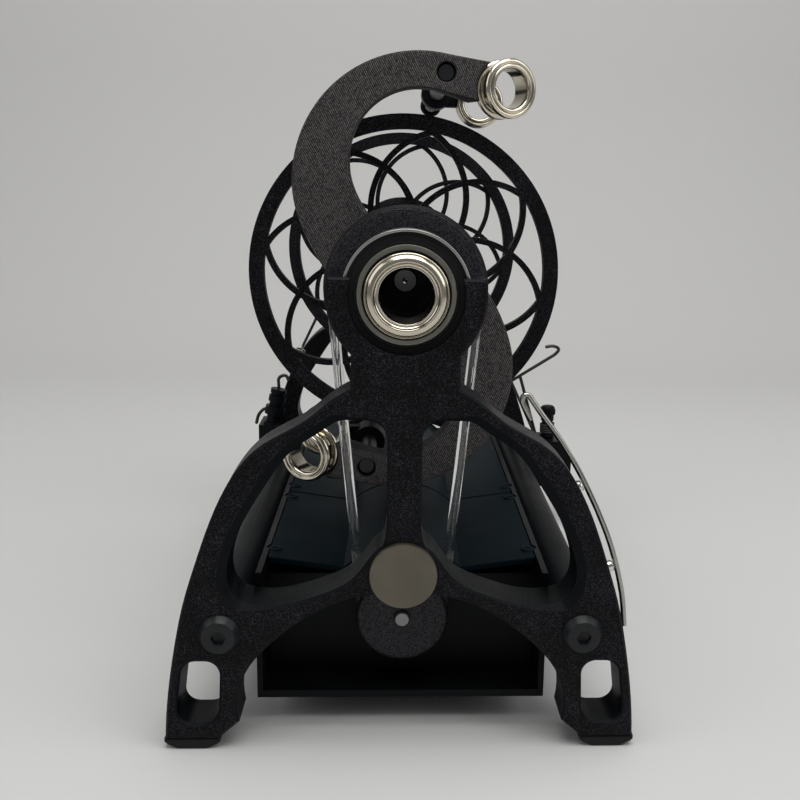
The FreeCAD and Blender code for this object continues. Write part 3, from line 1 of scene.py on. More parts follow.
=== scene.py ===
"""Electric yarn spinner, dressed for rendering around its packed construction.

Sizes are in millimetres in the spinner's own frame and are turned into metres where meshes are
made: +X is right, +Y runs back along the spindle and +Z is up, from the centre of the orifice.
"""

import logging
import math
from dataclasses import dataclass, field
from enum import Enum
from typing import Iterable, Sequence

import bmesh
import bpy
from mathutils import Matrix, Vector
from mathutils.geometry import tessellate_polygon

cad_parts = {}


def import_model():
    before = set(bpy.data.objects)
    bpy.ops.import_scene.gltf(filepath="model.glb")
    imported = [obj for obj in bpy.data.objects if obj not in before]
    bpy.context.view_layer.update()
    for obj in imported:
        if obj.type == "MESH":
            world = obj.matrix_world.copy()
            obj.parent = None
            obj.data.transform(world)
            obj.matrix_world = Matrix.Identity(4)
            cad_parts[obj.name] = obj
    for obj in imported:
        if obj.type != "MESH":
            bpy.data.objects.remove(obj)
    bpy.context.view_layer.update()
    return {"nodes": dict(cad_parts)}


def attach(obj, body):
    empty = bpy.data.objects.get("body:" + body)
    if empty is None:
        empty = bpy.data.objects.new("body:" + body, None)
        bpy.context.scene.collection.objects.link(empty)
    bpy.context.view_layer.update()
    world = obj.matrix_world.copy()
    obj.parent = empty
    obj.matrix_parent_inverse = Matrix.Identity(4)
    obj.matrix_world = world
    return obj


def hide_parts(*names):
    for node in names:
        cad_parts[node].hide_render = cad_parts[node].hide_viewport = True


MM = 0.001
LOG = logging.getLogger("spinner")
Colour = tuple[float, float, float]
Pair = tuple[float, float]
Point = tuple[float, float, float]


# ------------------------------------------------------------------ node helpers


class Nodes:
    """Small wrapper that adds nodes to one tree and links them by name."""

    def __init__(self, tree: bpy.types.NodeTree) -> None:
        """Keep the tree that gets the nodes."""
        self.tree = tree

    def add(self, kind: str, **inputs: object) -> bpy.types.Node:
        """Add a node and fill or link its inputs.

        Args:
            kind: the node's type name.
            inputs: values or output sockets by input name, with spaces written as underscores;
                names that start with set_ are properties of the node.

        Returns:
            The new node.
        """
        node = self.tree.nodes.new(kind)
        for name, value in inputs.items():
            if name.startswith("set_"):
                setattr(node, name[4:], value)
        for name, value in inputs.items():
            if name.startswith("set_"):
                continue
            socket = self.socket(node, name)
            if isinstance(value, bpy.types.NodeSocket):
                self.tree.links.new(value, socket)
            else:
                socket.default_value = value
        return node

    def socket(self, node: bpy.types.Node, name: str) -> bpy.types.NodeSocket:
        """Find an input by its name, or by its number written as in_0, in_1 and so on."""
        number = name[3:] if name.startswith("in_") else ""
        return node.inputs[int(number) if number else name.replace("_", " ")]

    def link(self, value: bpy.types.NodeSocket, node: bpy.types.Node, name: str) -> None:
        """Link an output to an input that is found by its name."""
        self.tree.links.new(value, node.inputs[name])

    def place(self) -> bpy.types.NodeSocket:
        """Add a Texture Coordinate node and return the place in the object's own space."""
        return self.add("ShaderNodeTexCoord").outputs["Object"]

    def math(self, operation: str, a: object, b: object = 0.0, c: object = 0.0) -> bpy.types.NodeSocket:
        """Add a Math node and return its output."""
        return self.add("ShaderNodeMath", set_operation=operation, in_0=a, in_1=b, in_2=c).outputs[0]

    def noise(self, place: object, scale: float, detail: float) -> bpy.types.NodeSocket:
        """Add a Noise Texture and return its factor."""
        return self.add("ShaderNodeTexNoise", Vector=place, Scale=scale, Detail=detail).outputs[0]

    def spread(self, value: object, low: float, high: float, to_low: float = 0.0,
               to_high: float = 1.0) -> bpy.types.NodeSocket:
        """Add a clamped Map Range node and return its output."""
        return self.add("ShaderNodeMapRange", Value=value, From_Min=low, From_Max=high, To_Min=to_low,
                        To_Max=to_high).outputs[0]

    def blend(self, share: object, a: object, b: object) -> bpy.types.NodeSocket:
        """Mix two colours and return the result.

        Args:
            share: how much of the second colour shows.
            a: the first colour.
            b: the second colour.

        Returns:
            The mixed colour.
        """
        node = self.tree.nodes.new("ShaderNodeMix")
        node.data_type = "RGBA"
        for number, value in ((0, share), (6, a), (7, b)):
            if isinstance(value, bpy.types.NodeSocket):
                self.tree.links.new(value, node.inputs[number])
            else:
                node.inputs[number].default_value = value if number == 0 else (*value, 1.0)
        return node.outputs[2]


class EffectGroup:
    """Shader node group that is built once and placed in many materials."""

    name = ""
    inputs: tuple[tuple[str, float], ...] = ()
    outputs: tuple[str, ...] = ()

    def group(self) -> bpy.types.NodeTree:
        """Return the group's tree, building it on first use.

        Returns:
            The group's tree.
        """
        tree = bpy.data.node_groups.get(self.name)
        if tree is None:
            tree = bpy.data.node_groups.new(self.name, "ShaderNodeTree")
            for label, default in self.inputs:
                socket = tree.interface.new_socket(label, in_out="INPUT", socket_type="NodeSocketFloat")
                socket.default_value = default
            for label in self.outputs:
                tree.interface.new_socket(label, in_out="OUTPUT", socket_type="NodeSocketFloat")
            self.build(Nodes(tree), tree.nodes.new("NodeGroupInput"), tree.nodes.new("NodeGroupOutput"))
        return tree

    def build(self, nodes: Nodes, given: bpy.types.Node, result: bpy.types.Node) -> None:
        """Fill the tree between its input and output nodes."""
        raise NotImplementedError

    def place(self, nodes: Nodes, **values: object) -> bpy.types.Node:
        """Add the group to a material.

        Args:
            nodes: the material's node wrapper.
            values: inputs by name, with spaces written as underscores.

        Returns:
            The group node.
        """
        node = nodes.tree.nodes.new("ShaderNodeGroup")
        node.node_tree = self.group()
        for label, value in values.items():
            socket = node.inputs[label.replace("_", " ")]
            if isinstance(value, bpy.types.NodeSocket):
                nodes.tree.links.new(value, socket)
            else:
                socket.default_value = value
        return node


class PrintLines(EffectGroup):
    """Height of stacked print layers along one direction of the object's own space."""

    name = "print_lines"
    inputs = (("Along X", 0.0), ("Along Y", 1.0), ("Along Z", 0.0), ("Pitch", 0.2), ("Wander", 0.25))
    outputs = ("Height",)

    def build(self, nodes: Nodes, given: bpy.types.Node, result: bpy.types.Node) -> None:
        """Project the place on the direction and make a rounded ridge for each layer.

        Args:
            nodes: the group's nodes.
            given: its input node.
            result: its output node.
        """
        place = nodes.place()
        direction = nodes.add("ShaderNodeCombineXYZ", X=given.outputs["Along X"],
                              Y=given.outputs["Along Y"], Z=given.outputs["Along Z"]).outputs[0]
        along = nodes.add("ShaderNodeVectorMath", set_operation="DOT_PRODUCT", in_0=place,
                          in_1=direction).outputs["Value"]
        layers = nodes.math("DIVIDE", nodes.math("MULTIPLY", along, 1000.0), given.outputs["Pitch"])
        drift = nodes.noise(place, 160.0, 2.0)
        shifted = nodes.math("MULTIPLY_ADD", drift, given.outputs["Wander"], layers)
        wave = nodes.math("SINE", nodes.math("MULTIPLY", shifted, 2 * math.pi))
        nodes.link(nodes.math("MULTIPLY_ADD", wave, 0.5, 0.5), result, "Height")


class FlatSide(EffectGroup):
    """How much a surface faces along the spindle: 1 on a print's flat faces, 0 on its side walls."""

    name = "flat_side"
    inputs = (("Edge", 0.86),)
    outputs = ("Mask",)

    def build(self, nodes: Nodes, given: bpy.types.Node, result: bpy.types.Node) -> None:
        """Read the object-space normal's Y.

        Args:
            nodes: the group's nodes.
            given: its input node.
            result: its output node.
        """
        normal = nodes.add("ShaderNodeTexCoord").outputs["Normal"]
        y = nodes.add("ShaderNodeSeparateXYZ", Vector=normal).outputs["Y"]
        facing = nodes.math("SUBTRACT", nodes.math("ABSOLUTE", y), given.outputs["Edge"])
        nodes.link(nodes.spread(facing, 0.0, 0.1), result, "Mask")


class Sparkle(EffectGroup):
    """Grainy print-bed texture: many dull grains and a few painted glints."""

    name = "sparkle"
    inputs = (("Grain", 0.42), ("Share", 0.2))
    outputs = ("Glint", "Height", "Tint")

    def build(self, nodes: Nodes, given: bpy.types.Node, result: bpy.types.Node) -> None:
        """Random cells of the grain's size, raised to a few bright ones.

        Args:
            nodes: the group's nodes.
            given: its input node.
            result: its output node.
        """
        place = nodes.place()
        scale = nodes.math("DIVIDE", 1000.0, given.outputs["Grain"])
        cells = nodes.add("ShaderNodeTexVoronoi", Vector=place, Scale=scale, Randomness=1.0)
        colour = nodes.add("ShaderNodeSeparateColor", Color=cells.outputs["Color"])
        patch = nodes.noise(place, 90.0, 3.0)
        level = nodes.math("ADD", colour.outputs["Red"], nodes.math("MULTIPLY_ADD", patch, 0.5, -0.25))
        threshold = nodes.math("SUBTRACT", 1.0, given.outputs["Share"])
        over = nodes.math("DIVIDE", nodes.math("SUBTRACT", level, threshold), given.outputs["Share"])
        glint = nodes.math("POWER", nodes.spread(over, 0.0, 1.0), 1.6)
        nodes.link(glint, result, "Glint")
        nodes.link(colour.outputs["Green"], result, "Height")
        nodes.link(colour.outputs["Blue"], result, "Tint")


class Handling(EffectGroup):
    """Soft, uneven roughness of a surface that is touched."""

    name = "handling"
    inputs = (("Low", 0.3), ("High", 0.45), ("Scale", 40.0))
    outputs = ("Roughness",)

    def build(self, nodes: Nodes, given: bpy.types.Node, result: bpy.types.Node) -> None:
        """Spread a broad noise between the two roughness values.

        Args:
            nodes: the group's nodes.
            given: its input node.
            result: its output node.
        """
        place = nodes.place()
        noise = nodes.add("ShaderNodeTexNoise", Vector=place, Scale=given.outputs["Scale"],
                          Detail=4.0, Roughness=0.6).outputs[0]
        mask = nodes.spread(noise, 0.35, 0.65)
        span = nodes.math("SUBTRACT", given.outputs["High"], given.outputs["Low"])
        nodes.link(nodes.math("MULTIPLY_ADD", mask, span, given.outputs["Low"]), result, "Roughness")


# ------------------------------------------------------------------ finishes


class Finish:
    """Base of all finishes: makes one material and keeps it."""

    name: str
    colour: Colour

    def material(self) -> bpy.types.Material:
        """Return the finish's material, made on first use.

        Returns:
            The material.
        """
        found = bpy.data.materials.get("finish_" + self.name)
        if found:
            return found
        material = bpy.data.materials.new("finish_" + self.name)
        material.use_nodes = True
        shader = material.node_tree.nodes["Principled BSDF"]
        self.dress(Nodes(material.node_tree), shader)
        return material

    def dress(self, nodes: Nodes, shader: bpy.types.Node) -> None:
        """Set the shader's sockets and add the finish's nodes."""
        raise NotImplementedError

    def bump(self, nodes: Nodes, shader: bpy.types.Node, height: bpy.types.NodeSocket,
             depth: float, strength: float = 1.0) -> None:
        """Link a height from 0 to 1 to the shader's normal, as a relief some millimetres deep."""
        node = nodes.add("ShaderNodeBump", Strength=strength, Distance=depth * MM, Height=height)
        nodes.link(node.outputs[0], shader, "Normal")


@dataclass(frozen=True)
class GrainyPrint(Finish):
    """Black print with a grainy bed texture and painted glints on its flat faces and fine layers on its
    sides.
    """

    name: str
    colour: Colour = (0.0026, 0.0026, 0.0031)
    side_colour: Colour = (0.0020, 0.0030, 0.0044)
    glint_colour: Colour = (0.030, 0.034, 0.052)
    grain: float = 0.24
    share: float = 0.40
    layer: float = 0.24
    rough: float = 0.5
    side_rough: float = 0.40
    gloss: float = 0.10

    def dress(self, nodes: Nodes, shader: bpy.types.Node) -> None:
        """Mix the grainy faces and the layered sides by the way the surface faces.

        Args:
            nodes: the material's nodes.
            shader: its principled shader.
        """
        flat = FlatSide().place(nodes).outputs["Mask"]
        grain = Sparkle().place(nodes, Grain=self.grain, Share=self.share)
        # Painted glints: the brightest grains lighten the base colour, fully on flat faces and faintly on the
        # sides.
        glint = nodes.math("MULTIPLY", grain.outputs["Glint"], flat)
        faint = nodes.math("MULTIPLY", grain.outputs["Glint"], 0.05)
        glow = nodes.math("MAXIMUM", glint, faint)
        even = sum(self.glint_colour) / 3
        tint = nodes.blend(grain.outputs["Tint"], self.glint_colour, (1.1 * even, even, even))
        base = nodes.blend(flat, self.side_colour, self.colour)
        nodes.link(nodes.blend(glow, base, tint), shader, "Base Color")
        side = Handling().place(nodes, Low=self.side_rough - 0.05, High=self.side_rough + 0.08,
                                Scale=55.0).outputs[0]
        face = nodes.math("MULTIPLY_ADD", grain.outputs["Height"], -0.18, self.rough + 0.08)
        mix = nodes.add("ShaderNodeMix", in_0=flat, in_2=side, in_3=face).outputs[0]
        nodes.link(mix, shader, "Roughness")
        lines = PrintLines().place(nodes, Pitch=self.layer).outputs["Height"]
        rough_face = nodes.math("MULTIPLY", grain.outputs["Height"], 2.4)
        height = nodes.add("ShaderNodeMix", in_0=flat, in_2=lines, in_3=rough_face).outputs[0]
        self.bump(nodes, shader, height, 0.04, 0.5)
        shader.inputs["Specular IOR Level"].default_value = self.gloss


@dataclass(frozen=True)
class RasterPrint(Finish):
    """Black print that shows its diagonal top lines on flat faces, lit by a painted sheen, and layers on its
    sides.
    """

    name: str
    colour: Colour = (0.0105, 0.0100, 0.0110)
    line_sheen_colour: Colour = (0.180, 0.166, 0.162)
    pitch: float = 0.62
    slant: float = 28.0
    layer: float = 0.28
    rough: float = 0.44
    grit: float = 0.5
    gloss: float = 0.3

    def dress(self, nodes: Nodes, shader: bpy.types.Node) -> None:
        """Lay broken diagonal ridges over the faces, painted lighter as their sheen, and layers over the
        sides.

        Args:
            nodes: the material's nodes.
            shader: its principled shader.
        """
        angle = math.radians(self.slant)
        flat = FlatSide().place(nodes, Edge=0.7).outputs["Mask"]
        raster = PrintLines().place(nodes, Along_X=math.cos(angle), Along_Y=0.0,
                                    Along_Z=math.sin(angle), Pitch=self.pitch, Wander=0.9).outputs["Height"]
        layers = PrintLines().place(nodes, Pitch=self.layer).outputs["Height"]
        grain = Sparkle().place(nodes, Grain=0.45, Share=self.grit)
        broken = nodes.math("MULTIPLY", raster, nodes.spread(grain.outputs["Height"], 0.1, 0.7, 0.3, 1.0))
        height = nodes.add("ShaderNodeMix", in_0=flat, in_2=layers, in_3=broken).outputs[0]
        # Painted sheen: the raster ridges lighten the base colour as if they caught the light.
        line_sheen = nodes.math("MULTIPLY", nodes.math("POWER", broken, 1.6), flat)
        nodes.link(nodes.blend(line_sheen, self.colour, self.line_sheen_colour), shader, "Base Color")
        touch = Handling().place(nodes, Low=self.rough - 0.04, High=self.rough + 0.08, Scale=70.0)
        nodes.link(touch.outputs[0], shader, "Roughness")
        self.bump(nodes, shader, height, 0.09, 0.6)
        shader.inputs["Specular IOR Level"].default_value = self.gloss


@dataclass(frozen=True)
class SmoothPlastic(Finish):
    """Satin moulded or printed plastic with a faint mottle."""

    name: str
    colour: Colour
    rough: float = 0.34
    mottle: float = 0.15
    layer: float = 0.0
    gloss: float = 0.35

    def dress(self, nodes: Nodes, shader: bpy.types.Node) -> None:
        """Vary the colour and gloss slightly and add layers where the piece is printed.

        Args:
            nodes: the material's nodes.
            shader: its principled shader.
        """
        place = nodes.place()
        noise = nodes.noise(place, 30.0, 5.0)
        dark = tuple(c * (1 - self.mottle) for c in self.colour)
        light = tuple(c * (1 + self.mottle) for c in self.colour)
        nodes.link(nodes.blend(nodes.spread(noise, 0.3, 0.7), dark, light), shader, "Base Color")
        touch = Handling().place(nodes, Low=self.rough - 0.04, High=self.rough + 0.06, Scale=25.0)
        nodes.link(touch.outputs[0], shader, "Roughness")
        shader.inputs["Specular IOR Level"].default_value = self.gloss
        if self.layer:
            lines = PrintLines().place(nodes, Along_Y=0.0, Along_Z=1.0, Pitch=self.layer)
            self.bump(nodes, shader, lines.outputs["Height"], 0.03, 0.4)
        else:
            fine = nodes.noise(place, 1800.0, 2.0)
            self.bump(nodes, shader, fine, 0.012, 0.5)


class Grain(Enum):
    """Which way the fine marks of a metal run."""

    TURNED = "turned"
    DRAWN = "drawn"
    NONE = "none"


@dataclass(frozen=True)
class Metal(Finish):
    """Bare or plated metal with fine marks and uneven gloss."""

    name: str
    colour: Colour
    rough: float = 0.2
    grain: Grain = Grain.NONE
    marks: float = 0.3

    def dress(self, nodes: Nodes, shader: bpy.types.Node) -> None:
        """Vary gloss and tone, and cut fine marks along the grain.

        Args:
            nodes: the material's nodes.
            shader: its principled shader.
        """
        place = nodes.place()
        shader.inputs["Metallic"].default_value = 1.0
        stretch = {Grain.TURNED: (900.0, 9000.0, 900.0), Grain.DRAWN: (5000.0, 60.0, 5000.0),
                   Grain.NONE: (700.0, 700.0, 700.0)}[self.grain]
        scaled = nodes.add("ShaderNodeVectorMath", set_operation="MULTIPLY", in_0=place, in_1=stretch)
        fine = nodes.add("ShaderNodeTexNoise", Vector=scaled.outputs[0], Scale=1.0, Detail=3.0).outputs[0]
        broad = nodes.noise(place, 120.0, 4.0)
        tone = nodes.spread(broad, 0.3, 0.7, 0.0, 1.0)
        dark = tuple(c * 0.86 for c in self.colour)
        nodes.link(nodes.blend(tone, dark, self.colour), shader, "Base Color")
        gloss = nodes.math("MULTIPLY_ADD", fine, 0.12, self.rough - 0.06)
        nodes.link(gloss, shader, "Roughness")
        self.bump(nodes, shader, fine, 0.01, self.marks)


@dataclass(frozen=True)
class ClearCord(Finish):
    """Clear elastic belt."""

    name: str = "clear_belt"
    colour: Colour = (0.93, 0.94, 0.93)

    def dress(self, nodes: Nodes, shader: bpy.types.Node) -> None:
        """Mostly clear, with a little haze.

        Args:
            nodes: the material's nodes.
            shader: its principled shader.
        """
        place = nodes.place()
        haze = nodes.noise(place, 400.0, 3.0)
        nodes.link(nodes.blend(haze, self.colour, (0.88, 0.9, 0.9)), shader, "Base Color")
        nodes.link(nodes.spread(haze, 0.2, 0.8, 0.02, 0.06), shader, "Roughness")
        shader.inputs["Transmission Weight"].default_value = 0.97
        shader.inputs["IOR"].default_value = 1.48


@dataclass(frozen=True)
class Rubber(Finish):
    """Soft black rubber."""

    name: str
    colour: Colour = (0.003, 0.003, 0.0034)
    rough: float = 0.62

    def dress(self, nodes: Nodes, shader: bpy.types.Node) -> None:
        """Dull with a dusting of lighter specks.

        Args:
            nodes: the material's nodes.
            shader: its principled shader.
        """
        place = nodes.place()
        dust = nodes.noise(place, 900.0, 4.0)
        light = tuple(c * 2.4 for c in self.colour)
        nodes.link(nodes.blend(nodes.spread(dust, 0.55, 0.8), self.colour, light), shader, "Base Color")
        nodes.link(nodes.spread(dust, 0.2, 0.8, self.rough - 0.08, self.rough + 0.1), shader, "Roughness")
        self.bump(nodes, shader, dust, 0.02, 0.5)
        shader.inputs["Specular IOR Level"].default_value = 0.25


GRAINY = GrainyPrint("grainy_print")
RASTER = RasterPrint("raster_print")
# Its second colour is the painted sheen of the raster lines.
RIM_PRINT = RasterPrint("rim_print", (0.0036, 0.0034, 0.0044), (0.088, 0.082, 0.098), 0.56, 132.0,
                        grit=0.35, gloss=0.2)
PLAIN_BLACK = SmoothPlastic("plain_black", (0.0030, 0.0037, 0.0048), 0.42, layer=0.25, gloss=0.11)
COVER = SmoothPlastic("cover", (0.0036, 0.0078, 0.0108), 0.32, gloss=0.012)
RAIL = SmoothPlastic("rail", (0.0026, 0.0034, 0.0046), 0.42, gloss=0.06)
DULL_RACE = Metal("dull_race", (0.24, 0.235, 0.205), 0.46, Grain.TURNED)
BLACK_SCREW = SmoothPlastic("black_screw", (0.0060, 0.0072, 0.0088), 0.32, gloss=0.3)
NICKEL = Metal("nickel", (0.68, 0.625, 0.515), 0.18)
BEARING = Metal("bearing_steel", (0.42, 0.42, 0.405), 0.34, Grain.TURNED)
SPINDLE = Metal("spindle_steel", (0.24, 0.24, 0.24), 0.34, Grain.DRAWN)
DARK_STEEL = Metal("dark_steel", (0.075, 0.075, 0.080), 0.36, Grain.DRAWN)
MAGNET = Metal("magnet_plating", (0.165, 0.150, 0.120), 0.5, Grain.NONE, 0.8)
BRIGHT_PIN = Metal("bright_pin", (0.72, 0.72, 0.70), 0.18)
SPRING = Metal("spring_wire", (0.40, 0.39, 0.36), 0.24, Grain.NONE, 0.4)
DARK_WIRE = Metal("dark_wire", (0.065, 0.065, 0.062), 0.4)
MOTOR_CAN = Metal("motor_can", (0.55, 0.55, 0.56), 0.3, Grain.DRAWN)
SEAL = Rubber("seal")
FOOT = Rubber("foot_rubber", (0.0075, 0.0075, 0.008), 0.55)
BELT = ClearCord()
BOARD = SmoothPlastic("board", (0.02, 0.12, 0.05), 0.3)
BUSH = SmoothPlastic("bush", (0.62, 0.58, 0.47), 0.35)
KNOB = SmoothPlastic("knob", (0.0105, 0.0105, 0.0115), 0.28)
SWITCH = SmoothPlastic("switch", (0.0085, 0.0085, 0.0095), 0.26, gloss=0.5)
MARK = SmoothPlastic("mark", (0.62, 0.62, 0.60), 0.45, 0.06)
CORD = SmoothPlastic("cord", (0.030, 0.030, 0.029), 0.7)


# ------------------------------------------------------------------ shapes


def soften(profile: Sequence[Pair], radius: float, steps: int = 3, on_axis: bool = True) -> list[Pair]:
    """Round the corners of a closed profile.

    Args:
        profile: corners in order.
        radius: length cut from each side of a corner.
        steps: segments in each rounded corner.
        on_axis: whether corners with a first coordinate of zero stay sharp.

    Returns:
        The rounded profile.
    """
    out: list[Pair] = []
    for i, corner in enumerate(profile):
        here = Vector(corner)
        back = Vector(profile[i - 1]) - here
        ahead = Vector(profile[(i + 1) % len(profile)]) - here
        if on_axis and corner[0] < 1e-6:
            out.append(corner)
            continue
        reach = min(radius, 0.45 * back.length, 0.45 * ahead.length)
        first = here + back.normalized() * reach
        last = here + ahead.normalized() * reach
        for k in range(steps + 1):
            t = k / steps
            point = first * (1 - t) ** 2 + here * (2 * t * (1 - t)) + last * (t * t)
            out.append((point.x, point.y))
    return out


def area(loop: Sequence[Pair]) -> float:
    """Signed area of a loop, positive when it runs counter-clockwise."""
    return sum(a[0] * b[1] - b[0] * a[1] for a, b in zip(loop, list(loop[1:]) + [loop[0]])) / 2


def inset(loop: Sequence[Pair], distance: float) -> list[Pair]:
    """Move every point of a loop to its left by a distance.

    Args:
        loop: points in order.
        distance: how far each point moves.

    Returns:
        The moved points.
    """
    moved = []
    for i, here in enumerate(loop):
        a = Vector(here) - Vector(loop[i - 1])
        b = Vector(loop[(i + 1) % len(loop)]) - Vector(here)
        left_a = Vector((-a.y, a.x)).normalized()
        left_b = Vector((-b.y, b.x)).normalized()
        middle = left_a + left_b
        middle = left_a if middle.length < 1e-6 else middle.normalized()
        shift = middle * (distance / max(0.55, middle.dot(left_a)))
        moved.append((here[0] + shift.x, here[1] + shift.y))
    return moved


def bent(points: Sequence[Point], share: float = 0.45, steps: int = 10) -> list[Vector]:
    """Path of straight runs joined by tangent arcs.

    Args:
        points: the corners.
        share: part of the shorter neighbouring run that each arc uses.
        steps: segments in each arc.

    Returns:
        The path's points.
    """
    corners = [Vector(p) for p in points]
    path = [corners[0]]
    for before, corner, after in zip(corners, corners[1:], corners[2:]):
        back = before - corner
        ahead = after - corner
        reach = share * min(back.length, ahead.length)
        turn = math.pi - back.angle(ahead)
        bend = reach / math.tan(turn / 2)
        back.normalize()
        ahead.normalize()
        middle = (back + ahead).normalized()
        centre = corner + middle * (bend / math.cos(turn / 2))
        first = corner + back * reach - centre
        last = corner + ahead * reach - centre
        for k in range(steps + 1):
            path.append(centre + first.slerp(last, k / steps).normalized() * bend)
    path.append(corners[-1])
    return path


def circle(radius: float, count: int, centre: Pair = (0.0, 0.0)) -> list[Pair]:
    """Points of a circle, counter-clockwise."""
    return [(centre[0] + radius * math.cos(2 * math.pi * k / count),
             centre[1] + radius * math.sin(2 * math.pi * k / count)) for k in range(count)]


def in_scene(name: str, data: bpy.types.ID) -> bpy.types.Object:
    """Make an object and link it to the scene.

    Args:
        name: the object's name.
        data: its mesh, lamp or camera.

    Returns:
        The object.
    """
    made = bpy.data.objects.new(name, data)
    bpy.context.scene.collection.objects.link(made)
    return made


@dataclass
class Shell:
    """Closed surfaces of one piece, in millimetres."""

    points: list[Vector] = field(default_factory=list)
    faces: list[tuple[int, ...]] = field(default_factory=list)

    def __add__(self, other: "Shell") -> "Shell":
        """Both shells as one."""
        moved = [tuple(i + len(self.points) for i in face) for face in other.faces]
        return Shell(self.points + other.points, self.faces + moved)

    def placed(self, matrix: Matrix) -> "Shell":
        """Copy moved by a matrix in millimetres."""
        return Shell([matrix @ p for p in self.points], list(self.faces))

    def moved(self, x: float = 0.0, y: float = 0.0, z: float = 0.0) -> "Shell":
        """Copy moved along the axes."""
        return self.placed(Matrix.Translation((x, y, z)))

    def turned(self, degrees: float, axis: str = "Y", about: Point = (0.0, 0.0, 0.0)) -> "Shell":
        """Copy turned about an axis through a point."""
        shift = Matrix.Translation(about)
        return self.placed(shift @ Matrix.Rotation(math.radians(degrees), 4, axis) @ shift.inverted())

    def mirrored(self) -> "Shell":
        """Copy on the other side of the plane x = 0."""
        return self.placed(Matrix.Diagonal((-1, 1, 1, 1)))

    def aimed(self, place: Sequence[float], direction: Sequence[float]) -> "Shell":
        """Copy whose own Y axis starts at a place and runs along a direction."""
        turn = Vector((0, 1, 0)).rotation_difference(Vector(direction)).to_matrix().to_4x4()
        return self.placed(Matrix.Translation(place) @ turn)

    @classmethod
    def gather(cls, shells: Iterable["Shell"]) -> "Shell":
        """One shell from many."""
        return sum(shells, cls())

    @classmethod
    def lathe(cls, profile: Sequence[Pair], count: int = 96) -> "Shell":
        """Turn a closed (radius, y) profile about the Y axis.

        Args:
            profile: the profile's points.
            count: segments round the axis.

        Returns:
            The turned shape.
        """
        shell = cls()
        rings = []
        for radius, y in profile:
            if radius < 1e-6:
                rings.append([len(shell.points)] * count)
                shell.points.append(Vector((0, y, 0)))
                continue
            rings.append(list(range(len(shell.points), len(shell.points) + count)))
            shell.points += [Vector((x, y, z)) for x, z in circle(radius, count)]
        for low, high in zip(rings, rings[1:] + rings[:1]):
            shell.bridge(low, high)
        return shell

    def bridge(self, low: Sequence[int], high: Sequence[int]) -> None:
        """Join two closed rings of points by faces.

        Args:
            low: numbers of the first ring's points.
            high: numbers of the second ring's points.
        """
        count = len(low)
        for j in range(count):
            k = (j + 1) % count
            corners = [low[j], low[k], high[k], high[j]]
            face = [c for n, c in enumerate(corners) if c != corners[n - 1]]
            if len(face) > 2:
                self.faces.append(tuple(face))

    @classmethod
    def tube(cls, path: Sequence[Vector], radius: float, sides: int = 16, closed: bool = False) -> "Shell":
        """Round tube along a path, with softened ends unless it is closed.

        Args:
            path: points of the path.
            radius: the tube's radius.
            sides: points round the tube.
            closed: whether the path is a loop.

        Returns:
            The tube.
        """
        shell = cls()
        places = [Vector(p) for p in path]
        widths = [1.0] * len(places)
        if not closed:
            tip = 0.35 * radius
            head = (places[0] - places[1]).normalized() * -tip
            tail = (places[-1] - places[-2]).normalized() * -tip
            places = [places[0], places[0] + head] + places[1:-1] + [places[-1] + tail, places[-1]]
            widths = [0.6] + widths + [0.6]
        count = len(places)
        tangents = []
        for i, place in enumerate(places):
            before = places[i - 1] if closed or i else place
            after = places[(i + 1) % count] if closed or i < count - 1 else place
            tangents.append((after - before).normalized())
        side = tangents[0].orthogonal().normalized()
        frames = []
        for tangent in tangents:
            side = (side - tangent * side.dot(tangent)).normalized()
            frames.append(side)
        twist = 0.0
        if closed:
            last = (frames[-1] - tangents[0] * frames[-1].dot(tangents[0])).normalized()
            twist = frames[0].angle(last) * (1 if tangents[0].dot(last.cross(frames[0])) > 0 else -1)
        rings = []
        for i, (place, tangent, side, width) in enumerate(zip(places, tangents, frames, widths)):
            other = tangent.cross(side)
            start = twist * i / count
            rings.append(list(range(len(shell.points), len(shell.points) + sides)))
            for k in range(sides):
                a = start + 2 * math.pi * k / sides
                shell.points.append(place + (side * math.cos(a) + other * math.sin(a)) * radius * width)
        for low, high in zip(rings, rings[1:] + (rings[:1] if closed else [])):
            shell.bridge(low, high)
        if not closed:
            shell.faces += [tuple(reversed(rings[0])), tuple(rings[-1])]
        return shell

    @classmethod
    def stack(cls, levels: Sequence[tuple[Sequence[Pair], float]]) -> "Shell":
        """Skin over (x, z) outlines of equal counts at the given y, closed by a flat face at both ends.

        Args:
            levels: an outline and its y for each level.

        Returns:
            The skin.
        """
        shell = cls()
        rings = []
        for loop, y in levels:
            rings.append(list(range(len(shell.points), len(shell.points) + len(loop))))
            shell.points += [Vector((x, y, z)) for x, z in loop]
        for low, high in zip(rings, rings[1:]):
            shell.bridge(low, high)
        shell.faces += [tuple(reversed(rings[0])), tuple(rings[-1])]
        return shell

